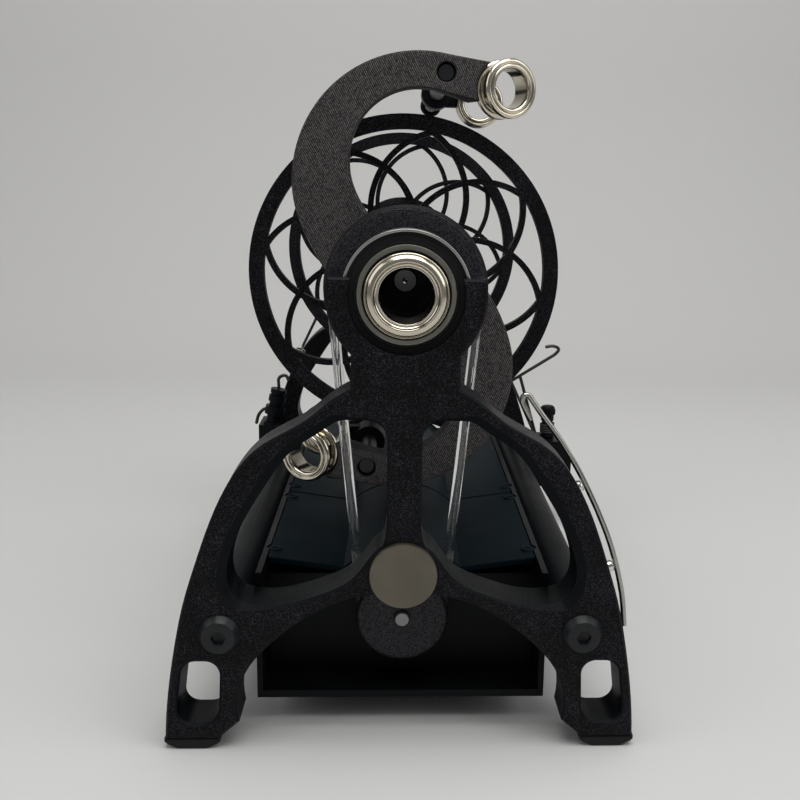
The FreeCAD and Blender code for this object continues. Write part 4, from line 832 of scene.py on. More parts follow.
    @classmethod
    def slab(cls, outer: Sequence[Pair], holes: Sequence[Sequence[Pair]], y0: float, y1: float,
             edge: float, steps: int = 3) -> "Shell":
        """Plate with rounded edges between two planes across the spindle.

        Args:
            outer: the (x, z) outline.
            holes: outlines of the holes.
            y0: front plane.
            y1: rear plane.
            edge: radius of the edges.
            steps: segments in a rounded edge.

        Returns:
            The plate.
        """
        shell = cls()
        loops = [list(outer) if area(outer) > 0 else list(outer)[::-1]]
        loops += [list(hole) if area(hole) < 0 else list(hole)[::-1] for hole in holes]
        quarter = [math.pi / 2 * k / steps for k in range(steps + 1)]
        levels = [(edge * (1 - math.sin(a)), y0 + edge * (1 - math.cos(a))) for a in quarter]
        levels += [(edge * (1 - math.sin(a)), y1 - edge * (1 - math.cos(a))) for a in reversed(quarter)]
        first = []
        last = []
        for loop in loops:
            rings = []
            for distance, y in levels:
                rings.append(list(range(len(shell.points), len(shell.points) + len(loop))))
                shell.points += [Vector((x, y, z)) for x, z in inset(loop, distance)]
            for low, high in zip(rings, rings[1:]):
                shell.bridge(low, high)
            first.append(rings[0])
            last.append(rings[-1])
        shell.close(first)
        shell.close(last)
        return shell

    def close(self, rings: Sequence[Sequence[int]]) -> None:
        """Fill a flat outline, less its holes, with triangles.

        Args:
            rings: numbers of the outline's points, then of each hole's.
        """
        flat = [[Vector((self.points[i].x, self.points[i].z, 0)) for i in ring] for ring in rings]
        order = [i for ring in rings for i in ring]
        for corners in tessellate_polygon(flat):
            self.faces.append(tuple(order[c] for c in corners))

    @classmethod
    def box(cls, low: Point, high: Point, edge: float = 0.3, corner: float = 0.3) -> "Shell":
        """Box between two corners with rounded edges."""
        corners = [(low[0], low[2]), (high[0], low[2]), (high[0], high[2]), (low[0], high[2])]
        return cls.slab(soften(corners, corner, 3, False), [], low[1], high[1], edge)

    @classmethod
    def of_mesh(cls, mesh: bpy.types.Mesh) -> "Shell":
        """Shell of a mesh in metres."""
        return cls([v.co / MM for v in mesh.vertices], [tuple(p.vertices) for p in mesh.polygons])

    def piece(self, name: str, body: str, finish: Finish, slot: str, replaces: Sequence[str] = (),
              angle: float = 34.0) -> bpy.types.Object:
        """Make the scene object of this shell.

        Args:
            name: the piece's name.
            body: the moving body that it rides on.
            finish: its finish.
            slot: name of a material slot; not used.
            replaces: construction nodes that it stands for.
            angle: edges sharper than this stay sharp.

        Returns:
            The new object.
        """
        mesh = bpy.data.meshes.new(name)
        mesh.from_pydata([p * MM for p in self.points], [], self.faces)
        work = bmesh.new()
        work.from_mesh(mesh)
        bmesh.ops.remove_doubles(work, verts=work.verts, dist=1e-7)
        bmesh.ops.dissolve_degenerate(work, edges=work.edges, dist=1e-7)
        bmesh.ops.recalc_face_normals(work, faces=work.faces)
        work.to_mesh(mesh)
        work.free()
        mesh.shade_smooth()
        mesh.set_sharp_from_angle(angle=math.radians(angle))
        mesh.materials.append(finish.material())
        piece = in_scene(name, mesh)
        even = piece.modifiers.new("even_shading", "WEIGHTED_NORMAL")
        even.keep_sharp = True
        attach(piece, body)
        if replaces:
            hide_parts(*replaces)
        LOG.info("%s: %d faces on %s", name, len(mesh.polygons), body)
        return piece


def loops_at(node: bpy.types.Object, y: float) -> list[list[Pair]]:
    """Closed outlines of a construction node in a plane across the spindle.

    Args:
        node: the node.
        y: the plane, in millimetres.

    Returns:
        The (x, z) loops, the largest first.
    """
    work = bmesh.new()
    work.from_mesh(node.data)
    bmesh.ops.remove_doubles(work, verts=work.verts, dist=1e-6)

    def inside(items: Iterable[bmesh.types.BMVert]) -> bool:
        """Whether all points lie in the plane."""
        return all(abs(v.co.y / MM - y) < 0.004 for v in items)

    links: dict[int, list[int]] = {}
    for edge in work.edges:
        if inside(edge.verts) and sum(inside(f.verts) for f in edge.link_faces) < 2:
            a, b = (v.index for v in edge.verts)
            links.setdefault(a, []).append(b)
            links.setdefault(b, []).append(a)
    work.verts.ensure_lookup_table()
    loops = []
    while links:
        start = next(iter(links))
        chain = [start]
        while True:
            onward = [n for n in links.get(chain[-1], []) if n not in chain[-2:] and n not in chain[1:]]
            onward = [n for n in onward if n != start or len(chain) > 2]
            if not onward or onward[0] == start:
                break
            chain.append(onward[0])
        for index in chain:
            links.pop(index, None)
        if len(chain) > 2:
            loops.append([(work.verts[i].co.x / MM, work.verts[i].co.z / MM) for i in chain])
    work.free()
    return sorted(loops, key=lambda loop: -abs(area(loop)))


# ------------------------------------------------------------------ repeated parts


class Recipe:
    """Geometry Nodes tree that is built once and run into a shell."""

    name = ""
    sockets: tuple[tuple[str, str], ...] = ()

    def tree(self) -> bpy.types.NodeTree:
        """Return the tree, building it on first use.

        Returns:
            The tree.
        """
        tree = bpy.data.node_groups.get(self.name)
        if tree is None:
            tree = bpy.data.node_groups.new(self.name, "GeometryNodeTree")
            tree.interface.new_socket("Geometry", in_out="INPUT", socket_type="NodeSocketGeometry")
            for label, kind in self.sockets + (("Material", "Material"),):
                tree.interface.new_socket(label, in_out="INPUT", socket_type="NodeSocket" + kind)
            tree.interface.new_socket("Geometry", in_out="OUTPUT", socket_type="NodeSocketGeometry")
            nodes = Nodes(tree)
            given = tree.nodes.new("NodeGroupInput")
            made = self.build(nodes, given)
            solid = nodes.add("GeometryNodeRealizeInstances", Geometry=made)
            dressed = nodes.add("GeometryNodeSetMaterial", Geometry=solid.outputs[0],
                                Material=given.outputs["Material"])
            tree.links.new(dressed.outputs[0], tree.nodes.new("NodeGroupOutput").inputs["Geometry"])
        return tree

    def build(self, nodes: Nodes, given: bpy.types.Node) -> bpy.types.NodeSocket:
        """Add the tree's own nodes and return the socket with its geometry."""
        raise NotImplementedError

    def run(self, finish: Finish, **values: object) -> Shell:
        """Evaluate the tree.

        Args:
            finish: the finish that the tree sets.
            values: inputs by label, with spaces written as underscores; objects among them are
                templates, which are removed afterwards.

        Returns:
            The result, in millimetres.
        """
        tree = self.tree()
        carrier = in_scene(self.name, bpy.data.meshes.new(self.name))
        modifier = carrier.modifiers.new(self.name, "NODES")
        modifier.node_group = tree
        names = {item.name: item.identifier for item in tree.interface.items_tree if item.in_out == "INPUT"}
        modifier[names["Material"]] = finish.material()
        for label, value in values.items():
            modifier[names[label.replace("_", " ")]] = value
        bpy.context.view_layer.update()
        graph = bpy.context.evaluated_depsgraph_get()
        mesh = bpy.data.meshes.new_from_object(carrier.evaluated_get(graph), depsgraph=graph)
        carrier.modifiers.clear()
        shell = Shell.of_mesh(mesh)
        for used in [carrier] + [v for v in values.values() if isinstance(v, bpy.types.Object)]:
            bpy.data.objects.remove(used)
        return shell


def template(points: Sequence[Vector], edges: Sequence[tuple[int, int]],
             faces: Sequence[tuple[int, ...]]) -> bpy.types.Object:
    """Make a plain object that a recipe copies or follows.

    Args:
        points: its points, in millimetres.
        edges: its loose edges.
        faces: its faces.

    Returns:
        The object.
    """
    mesh = bpy.data.meshes.new("template")
    mesh.from_pydata([p * MM for p in points], edges, faces)
    return in_scene("template", mesh)


class CopyRecipe(Recipe):
    """Recipe that copies its Shape input."""

    def copies(self, nodes: Nodes, given: bpy.types.Node,
               **placing: bpy.types.NodeSocket) -> bpy.types.NodeSocket:
        """Place the shape on Points, turned by a Rotation where there is one."""
        shape = nodes.add("GeometryNodeObjectInfo", Object=given.outputs["Shape"]).outputs["Geometry"]
        return nodes.add("GeometryNodeInstanceOnPoints", Instance=shape, **placing).outputs[0]


class RoundArray(CopyRecipe):
    """Copies of a shape round the Z axis, each facing outwards."""

    name = "round_array"
    sockets = (("Shape", "Object"), ("Count", "Int"), ("Radius", "Float"))

    def build(self, nodes: Nodes, given: bpy.types.Node) -> bpy.types.NodeSocket:
        """Place the shape on the points of a circle.

        Args:
            nodes: the tree's nodes.
            given: its input node.

        Returns:
            The socket with the copies.
        """
        ring = nodes.add("GeometryNodeMeshCircle", Vertices=given.outputs["Count"],
                         Radius=given.outputs["Radius"])
        outward = nodes.add("GeometryNodeInputPosition").outputs[0]
        facing = nodes.add("FunctionNodeAlignRotationToVector", set_axis="X", Vector=outward)
        return self.copies(nodes, given, Points=ring.outputs[0], Rotation=facing.outputs[0])

    def around_y(self, shape: Shell, count: int, radius: float, finish: Finish) -> Shell:
        """Copies of a shape round the Y axis; the shape's X is outward and its Z is along Y."""
        source = template(shape.points, [], shape.faces)
        return self.run(finish, Shape=source, Count=count, Radius=radius * MM).turned(-90, "X")


class RowArray(CopyRecipe):
    """Copies of a shape in a straight row."""

    name = "row_array"
    sockets = (("Shape", "Object"), ("Count", "Int"), ("Step", "Vector"))

    def build(self, nodes: Nodes, given: bpy.types.Node) -> bpy.types.NodeSocket:
        """Place the shape on the points of a line."""
        row = nodes.add("GeometryNodeMeshLine", Count=given.outputs["Count"], Offset=given.outputs["Step"])
        return self.copies(nodes, given, Points=row.outputs[0])

    def along(self, shape: Shell, count: int, step: Point, finish: Finish) -> Shell:
        """Copies of a shape, each one step further than the last."""
        source = template(shape.points, [], shape.faces)
        return self.run(finish, Shape=source, Count=count, Step=[v * MM for v in step])


class SpotArray(CopyRecipe):
    """Copies of a shape at given places."""

    name = "spot_array"
    sockets = (("Shape", "Object"), ("Spots", "Object"))

    def build(self, nodes: Nodes, given: bpy.types.Node) -> bpy.types.NodeSocket:
        """Place the shape on every point of the Spots input."""
        spots = nodes.add("GeometryNodeObjectInfo", Object=given.outputs["Spots"])
        return self.copies(nodes, given, Points=spots.outputs["Geometry"])

    def on(self, shape: Shell, spots: Sequence[Point], finish: Finish) -> Shell:
        """Copies of a shape at the given places."""
        source, places = template(shape.points, [], shape.faces), template([Vector(s) for s in spots], [], [])
        return self.run(finish, Shape=source, Spots=places)


class Coil(Recipe):
    """Helical wire along Z."""

    name = "coil"
    sockets = (("Turns", "Float"), ("Radius", "Float"), ("Height", "Float"), ("Wire", "Float"))

    def build(self, nodes: Nodes, given: bpy.types.Node) -> bpy.types.NodeSocket:
        """Sweep a round wire along a helix.

        Args:
            nodes: the tree's nodes.
            given: its input node.

        Returns:
            The socket with the wire.
        """
        helix = nodes.add("GeometryNodeCurveSpiral", Resolution=28, Rotations=given.outputs["Turns"],
                          Start_Radius=given.outputs["Radius"], End_Radius=given.outputs["Radius"],
                          Height=given.outputs["Height"])
        section = nodes.add("GeometryNodeCurvePrimitiveCircle", Resolution=10, Radius=given.outputs["Wire"])
        wire = nodes.add("GeometryNodeCurveToMesh", Curve=helix.outputs[0],
                         Profile_Curve=section.outputs[0], Fill_Caps=True)
        return wire.outputs[0]


class Braid(Recipe):
    """Strands that wind round a path in both directions."""

    name = "braid"
    sockets = (("Path", "Object"), ("Strands", "Int"), ("Turns", "Float"), ("Offset", "Float"),
               ("Strand", "Float"))

    def build(self, nodes: Nodes, given: bpy.types.Node) -> bpy.types.NodeSocket:
        """Copy the path, push each copy out round it and sweep a round strand.

        Args:
            nodes: the tree's nodes.
            given: its input node.

        Returns:
            The socket with the strands.
        """
        path = nodes.add("GeometryNodeObjectInfo", Object=given.outputs["Path"])
        curve = nodes.add("GeometryNodeMeshToCurve", Mesh=path.outputs["Geometry"])
        fine = nodes.add("GeometryNodeResampleCurve", Curve=curve.outputs[0], Count=720)
        both = []
        for way in (1.0, -1.0):
            copies = nodes.add("GeometryNodeDuplicateElements", set_domain="SPLINE",
                               Geometry=fine.outputs[0], Amount=given.outputs["Strands"])
            phase = nodes.math("DIVIDE", copies.outputs["Duplicate Index"], given.outputs["Strands"])
            along = nodes.add("GeometryNodeSplineParameter").outputs["Factor"]
            turns = nodes.math("MULTIPLY", nodes.math("MULTIPLY", along, given.outputs["Turns"]), way)
            angle = nodes.math("MULTIPLY", nodes.math("ADD", turns, phase), 2 * math.pi)
            normal = nodes.add("GeometryNodeInputNormal").outputs[0]
            tangent = nodes.add("GeometryNodeInputTangent").outputs[0]
            spin = nodes.add("ShaderNodeVectorRotate", Vector=normal, Axis=tangent, Angle=angle)
            push = nodes.add("ShaderNodeVectorMath", set_operation="SCALE", in_0=spin.outputs[0],
                             Scale=given.outputs["Offset"])
            placed = nodes.add("GeometryNodeSetPosition", Geometry=copies.outputs[0],
                               Offset=push.outputs[0])
            section = nodes.add("GeometryNodeCurvePrimitiveCircle", Resolution=6,
                                Radius=given.outputs["Strand"])
            both.append(nodes.add("GeometryNodeCurveToMesh", Curve=placed.outputs[0],
                                  Profile_Curve=section.outputs[0], Fill_Caps=True).outputs[0])
        joined = nodes.tree.nodes.new("GeometryNodeJoinGeometry")
        for socket in both:
            nodes.tree.links.new(socket, joined.inputs[0])
        return joined.outputs[0]

    def along(self, path: Sequence[Vector], strands: int, turns: float, offset: float, strand: float,
              finish: Finish) -> Shell:
        """Braid round a path given in millimetres.

        Args:
            path: points of the path, in millimetres.
            strands: strands in each direction.
            turns: turns along the path.
            offset: distance from the path.
            strand: radius of a strand.
            finish: the strands' finish.

        Returns:
            The braid.
        """
        source = template(path, [(k, k + 1) for k in range(len(path) - 1)], [])
        return self.run(finish, Path=source, Strands=strands, Turns=turns, Offset=offset * MM,
                        Strand=strand * MM)


# ------------------------------------------------------------------ sub-assemblies


@dataclass(frozen=True)
class MaidenGrid:
    """Half width and drop of a maiden, in whose shares the places along its outline are given."""

    half: float = 71.3
    drop: float = 135.1

    def spot(self, across: float, down: float, y: float = 0.0) -> Vector:
        """Place at shares of the half width and of the drop, and at y."""
        return Vector((across * self.half, y, -down * self.drop))


GRID = MaidenGrid()


@dataclass
class SubAssembly:
    """Base of all sub-assemblies: knows the construction nodes and dresses those that stay."""

    frame: dict[str, bpy.types.Object]

    def dress(self, finishes: dict[str, Finish]) -> None:
        """Give construction nodes their finish.

        Args:
            finishes: finish by node name.
        """
        for name, finish in finishes.items():
            piece = self.frame[name]
            piece.data.materials.clear()
            piece.data.materials.append(finish.material())

    def build(self) -> None:
        """Make and dress the sub-assembly's pieces."""
        raise NotImplementedError


@dataclass
class Stand(SubAssembly):
    """Two maidens on two rails, with their screws and rubber feet."""

    rail_x: float = 54.2
    rail_z: float = -101.0
    front_y: float = 0.0
    rear_y: float = 237.0
    head_r: float = 6.3
    face_r: float = 4.9
    head_h: float = 2.6
    shank_r: float = 3.0
    shank_l: float = 30.0
    hex_r: float = 2.3
    hex_depth: float = 2.0
    screw_sides: int = 72
    foot_x: float = 63.457
    foot_top: float = -135.1
    foot_low: float = -138.7
    foot_half_top: float = 8.5
    foot_half_low: float = 4.5
    foot_y: Pair = (0.6, 14.4)
    maiden_step: float = 222.0
    edge_break: float = 0.6
    bevel: float = 2.0
    bevel_fade: Pair = (-0.1, 0.4)
    window_area: Pair = (900.0, 6000.0)

    def build(self) -> None:
        """Dress the rails; make the maidens, screws and feet."""
        self.dress({"rail_left": RAIL, "rail_right": RAIL})
        self.maiden("front_maiden", self.front_y, 1)
        self.maiden("rear_maiden", self.rear_y, -1)
        front = self.screw()
        rear = front.turned(180, "Z")
        screws = SpotArray()
        both = (-self.rail_x, self.rail_x)
        shell = screws.on(front, [(x, self.front_y, self.rail_z) for x in both], BLACK_SCREW)
        shell += screws.on(rear, [(x, self.rear_y, self.rail_z) for x in both], BLACK_SCREW)
        shell.piece("rail_screw_set", "stand", BLACK_SCREW, "screw_black", ["rail_screws"])
        foot = self.foot()
        pair = RowArray().along(foot, 2, (0, self.maiden_step, 0), FOOT)
        (pair + pair.mirrored()).piece("foot_pad_set", "stand", FOOT, "foot_rubber", ["foot_pads"])

    def maiden(self, node: str, face_y: float, inward: int) -> None:
        """Make a maiden whose windows have a broad bevel along their outer sides.

        Args:
            node: its construction node.
            face_y: its outer face.
            inward: 1 where the plate lies behind that face, -1 where it lies in front of it.
        """
        shell = Shell.of_mesh(self.frame[node].data)
        rim_y = face_y + inward * self.edge_break
        for ring_y, width, depth in ((face_y, self.bevel, 0.0), (rim_y, 0.0, self.bevel - self.edge_break)):
            moves = {}
            for loop in loops_at(self.frame[node], ring_y):
                if self.window_area[0] < abs(area(loop)) < self.window_area[1]:
                    moves.update(self.spread(loop, width))
            for point in shell.points:
                move = moves.get((round(point.x, 2), round(point.z, 2)))
                if move and abs(point.y - ring_y) < 0.01:
                    point.x, point.z = move[0], move[1]
                    point.y += inward * depth * move[2]
        shell.piece(node + "_plate", "stand", GRAINY, "printed_black", [node], angle=30)

    def spread(self, loop: Sequence[Pair], width: float) -> dict[Pair, tuple[float, float, float]]:
        """New place of each point of a window's rim, and how far it lies on the window's outer side.

        Args:
            loop: the rim's points.
            width: the bevel's width.

        Returns:
            The new x and z and the share of the bevel, by the old x and z.
        """
        none, full = self.bevel_fade
        side = 1 if sum(p[0] for p in loop) > 0 else -1
        away = inset(loop, -1.0 if area(loop) > 0 else 1.0)
        places = {}
        for here, there in zip(loop, away):
            outward = Vector(there) - Vector(here)
            outwards = side * outward.x / outward.length
            share = min(1.0, max(0.0, (outwards - none) / (full - none)))
            step = outward * (width * share)
            places[(round(here[0], 2), round(here[1], 2))] = (here[0] + step.x, here[1] + step.y, share)
        return places

    def hexagon(self, radius: float, count: int) -> list[Pair]:
        """Points of a hexagon, as many as a circle's.

        Args:
            radius: distance to a corner.
            count: number of points.

        Returns:
            The hexagon's points.
        """
        out = []
        for k in range(count):
            a = 2 * math.pi * k / count
            reach = radius * math.cos(math.pi / 6) / math.cos((a % (math.pi / 3)) - math.pi / 6)
            out.append((reach * math.cos(a), reach * math.sin(a)))
        return out

    def screw(self) -> Shell:
        """Cone-headed screw with a hex socket, its seat at y = 0.

        Returns:
            The front screw.
        """
        count, top, end = self.screw_sides, -self.head_h, self.shank_l
        floor = self.hex_depth - self.head_h
        socket = self.hexagon(self.hex_r, count)
        levels = [(circle(0.01, count), floor + 0.5), (socket, floor), (socket, top + 0.3)]
        turned = [(self.hex_r + 0.42, top), (self.face_r - 0.25, top), (self.face_r, top + 0.12),
                  (self.head_r - 0.1, -0.4), (self.head_r, -0.2), (self.head_r, 0.0), (self.shank_r, 0.0),
                  (self.shank_r, end - 0.6), (self.shank_r - 0.6, end)]
        return Shell.stack(levels + [(circle(r, count), y) for r, y in turned])

    def foot(self) -> Shell:
        """Right front foot: a tapered rubber pad with a groove round it.

        Returns:
            The foot.
        """
        top, low = self.foot_top, self.foot_low
        waist = (self.foot_half_top + self.foot_half_low) / 2
        middle = (top + low) / 2
        right = [(self.foot_half_top, top), (waist + 1.9, middle + 0.35), (waist + 1.4, middle + 0.1),
                 (waist + 1.3, middle - 0.2), (self.foot_half_low, low)]
        outline = [(self.foot_x + x, z) for x, z in right]
        outline += [(self.foot_x - x, z) for x, z in reversed(right)]
        return Shell.slab(soften(outline, 0.5, 3, False), [], *self.foot_y, 0.7)


@dataclass
class BallBearing:
    """Sealed ball bearing whose front face is at y0."""

    outer_r: float
    inner_r: float
    race: float
    y0: float
    width: float = 7.0
    edge: float = 0.3
    seal_t: float = 0.5
    recess: float = 0.3
    lip: float = 0.25
    land: float = 0.5

    def ring(self, wall: float, seat: float) -> Shell:
        """Race whose wall is seated at a radius, with a step under the seal's edge on both faces.

        Args:
            wall: radius of the side towards the balls.
            seat: radius of the side in the housing or on the shaft.

        Returns:
            The race.
        """
        y0, y1, step = self.y0, self.y0 + self.width, self.recess + self.seal_t
        land = seat + (wall - seat) * (self.land if wall < seat else 1.0)
        profile = [(wall, y0 + step), (land, y0 + step), (land, y0), (seat, y0), (seat, y1), (land, y1),
                   (land, y1 - step), (wall, y1 - step)]
        return Shell.lathe(soften(profile, self.edge), 128)

    def outer(self) -> Shell:
        """Outer race."""
        return self.ring(self.outer_r - self.race, self.outer_r)

    def inner(self) -> Shell:
        """Inner race."""
        return self.ring(self.inner_r + self.race, self.inner_r)

    def seals(self) -> Shell:
        """Both seals, each a dished ring with a raised lip at either edge.

        Returns:
            Both seals.
        """
        low = self.inner_r + self.race + 0.1
        high = self.outer_r - self.race * self.land - 0.02
        band = min(0.6, 0.25 * (high - low))
        slope = 1.3 * band
        y = self.y0 + self.recess
        front = [(low, y), (low + band, y), (low + slope, y + self.lip), (high - slope, y + self.lip),
                 (high - band, y), (high, y), (high, y + self.seal_t), (low, y + self.seal_t)]
        shell = Shell.lathe(front, 128)
        middle = self.y0 + self.width / 2
        flip = Matrix.Translation((0, 2 * middle, 0)) @ Matrix.Diagonal((1, -1, 1, 1))
        return shell + shell.placed(flip)


@dataclass
class Bearings(SubAssembly):
    """Front bearing round the hub and rear bearing round the spindle."""

    front: BallBearing = field(default_factory=lambda: BallBearing(18.5, 12.5, 1.7, 2.5))
    rear: BallBearing = field(default_factory=lambda: BallBearing(11.0, 4.05, 2.2, 226.0, land=0.8))

    def build(self) -> None:
        """Make the races and seals; dress the balls between them."""
        steel = "bearing_steel"
        self.dress({"bearing_balls": BEARING})
        for name, bearing in (("front", self.front), ("rear", self.rear)):
            outer = f"{name}_bearing_outer"
            inner = f"{name}_bearing_inner"
            bearing.outer().piece(outer + "_race", "stand", BEARING, steel, [outer])
            bearing.inner().piece(inner + "_race", "flyer", DULL_RACE, steel, [inner])
        seals = self.front.seals() + self.rear.seals()
        seals.piece("bearing_seal_set", "stand", SEAL, "seal_black", ["bearing_seals"])


@dataclass
class Pulley:
    """Round-belt pulley with two flanges and a rounded groove."""

    floor_r: float
    bore_r: float
    width: float
    y0: float
    flange_t: float = 2.2
    flange_h: float = 3.6
    chamfer: float = 0.9
    contours: int = 3
    line: float = 0.5
    line_h: float = 0.07
    edge: float = 0.25

    def shell(self) -> Shell:
        """Turn the pulley's profile.

        Returns:
            The pulley.
        """
        rim = self.floor_r + self.flange_h
        y1 = self.y0 + self.width
        groove = (self.width - 2 * self.flange_t) / 2
        middle = self.y0 + self.width / 2
        face = [(self.bore_r, self.y0)]
        for k in range(self.contours, 0, -1):
            start = rim - self.chamfer - k * self.line
            face += [(start, self.y0), (start + 0.5 * self.line, self.y0 + self.line_h)]
        front = [(rim - self.chamfer, self.y0), (rim, self.y0 + self.chamfer), (rim, middle - groove)]
        deep = []
        for k in range(13):
            a = math.pi * k / 12
            deep.append((self.floor_r + groove * (1 - math.sin(a)), middle - groove * math.cos(a)))
        back = [(rim, middle + groove), (rim, y1 - self.chamfer), (rim - self.chamfer, y1)]
        rims = soften(front, self.edge), soften(back, self.edge)
        return Shell.lathe(face + rims[0] + deep + rims[1] + [(self.bore_r, y1)], 160)


@dataclass
class Drive(SubAssembly):
    """Motor, its pulley, the flyer's pulley and the clear belt over both."""

    drop: float = 105.0
    belt_y: float = 25.0
    big_r: float = 22.6
    small_r: float = 12.8
    belt_r: float = 1.55
    shaft_r: float = 2.5
    shaft_y: Pair = (19.0, 85.5)
    flyer_pulley: Pulley = field(default_factory=lambda: Pulley(21.0, 13.45, 10.0, 20.0))
    motor_pulley: Pulley = field(default_factory=lambda: Pulley(11.2, 2.55, 9.0, 20.5, contours=2))

    def build(self) -> None:
        """Make the pulleys, shaft and belt; dress the motor."""
        self.dress({"motor_plate": PLAIN_BLACK, "motor_can": MOTOR_CAN, "motor_cap": KNOB})
        self.flyer_pulley.shell().piece("flyer_pulley_wheel", "flyer", RIM_PRINT, "printed_black",
                                        ["flyer_pulley"], angle=15)
        small = self.motor_pulley.shell().moved(z=-self.drop)
        small.piece("motor_pulley_wheel", "motor_rotor", RIM_PRINT, "printed_black",
                    ["motor_pulley"], angle=15)
        self.shaft().piece("motor_shaft_rod", "motor_rotor", SPINDLE, "spindle_steel", ["motor_shaft"])
        belt = Shell.tube(self.belt_path(), self.belt_r, 24, True)
        belt.piece("drive_belt_loop", "stand", BELT, "belt_clear", ["drive_belt"])

    def shaft(self) -> Shell:
        """Motor shaft with a chamfered front end."""
        (y0, y1), r = self.shaft_y, self.shaft_r
        return Shell.lathe([(0, y0), (r - 0.4, y0), (r, y0 + 0.4), (r, y1), (0, y1)], 48).moved(z=-self.drop)

    def belt_path(self) -> list[Vector]:
        """Two straight strands and two arcs, round both pulleys.

        Returns:
            Points of the loop.
        """
        lean = math.asin((self.big_r - self.small_r) / self.drop)
        path = []
        for radius, drop, start, span, steps in (
                (self.big_r, 0.0, -lean, math.pi + 2 * lean, 64),
                (self.small_r, self.drop, math.pi + lean, math.pi - 2 * lean, 48)):
            for k in range(steps + 1):
                a = start + span * k / steps
                path.append(Vector((radius * math.cos(a), self.belt_y, radius * math.sin(a) - drop)))
        return path


@dataclass
class Eyelet:
    """Guide ring: a spool with a rounded outer lip, a thin groove and a polished inner lip."""

    half: tuple[Pair, ...] = ((7.8, 2.1), (8.5, 2.2), (9.05, 2.45), (9.35, 2.9), (9.4, 3.3), (9.25, 3.75),
                              (8.95, 4.1), (8.5, 4.3), (8.15, 4.3), (7.95, 4.15), (7.85, 3.9), (7.7, 3.85),
                              (7.55, 4.1), (7.3, 4.42), (7.0, 4.5), (6.7, 4.45), (6.4, 4.25), (6.2, 3.9),
                              (6.07, 3.4), (6.0, 2.8))

    def shell(self, centre: Point, degrees: float = 0.0) -> Shell:
        """Ring at a place, its front turned outwards by some degrees."""
        profile = list(self.half) + [(r, -y) for r, y in reversed(self.half)]
        return Shell.lathe(profile, 112).turned(degrees, "Z").moved(*centre)


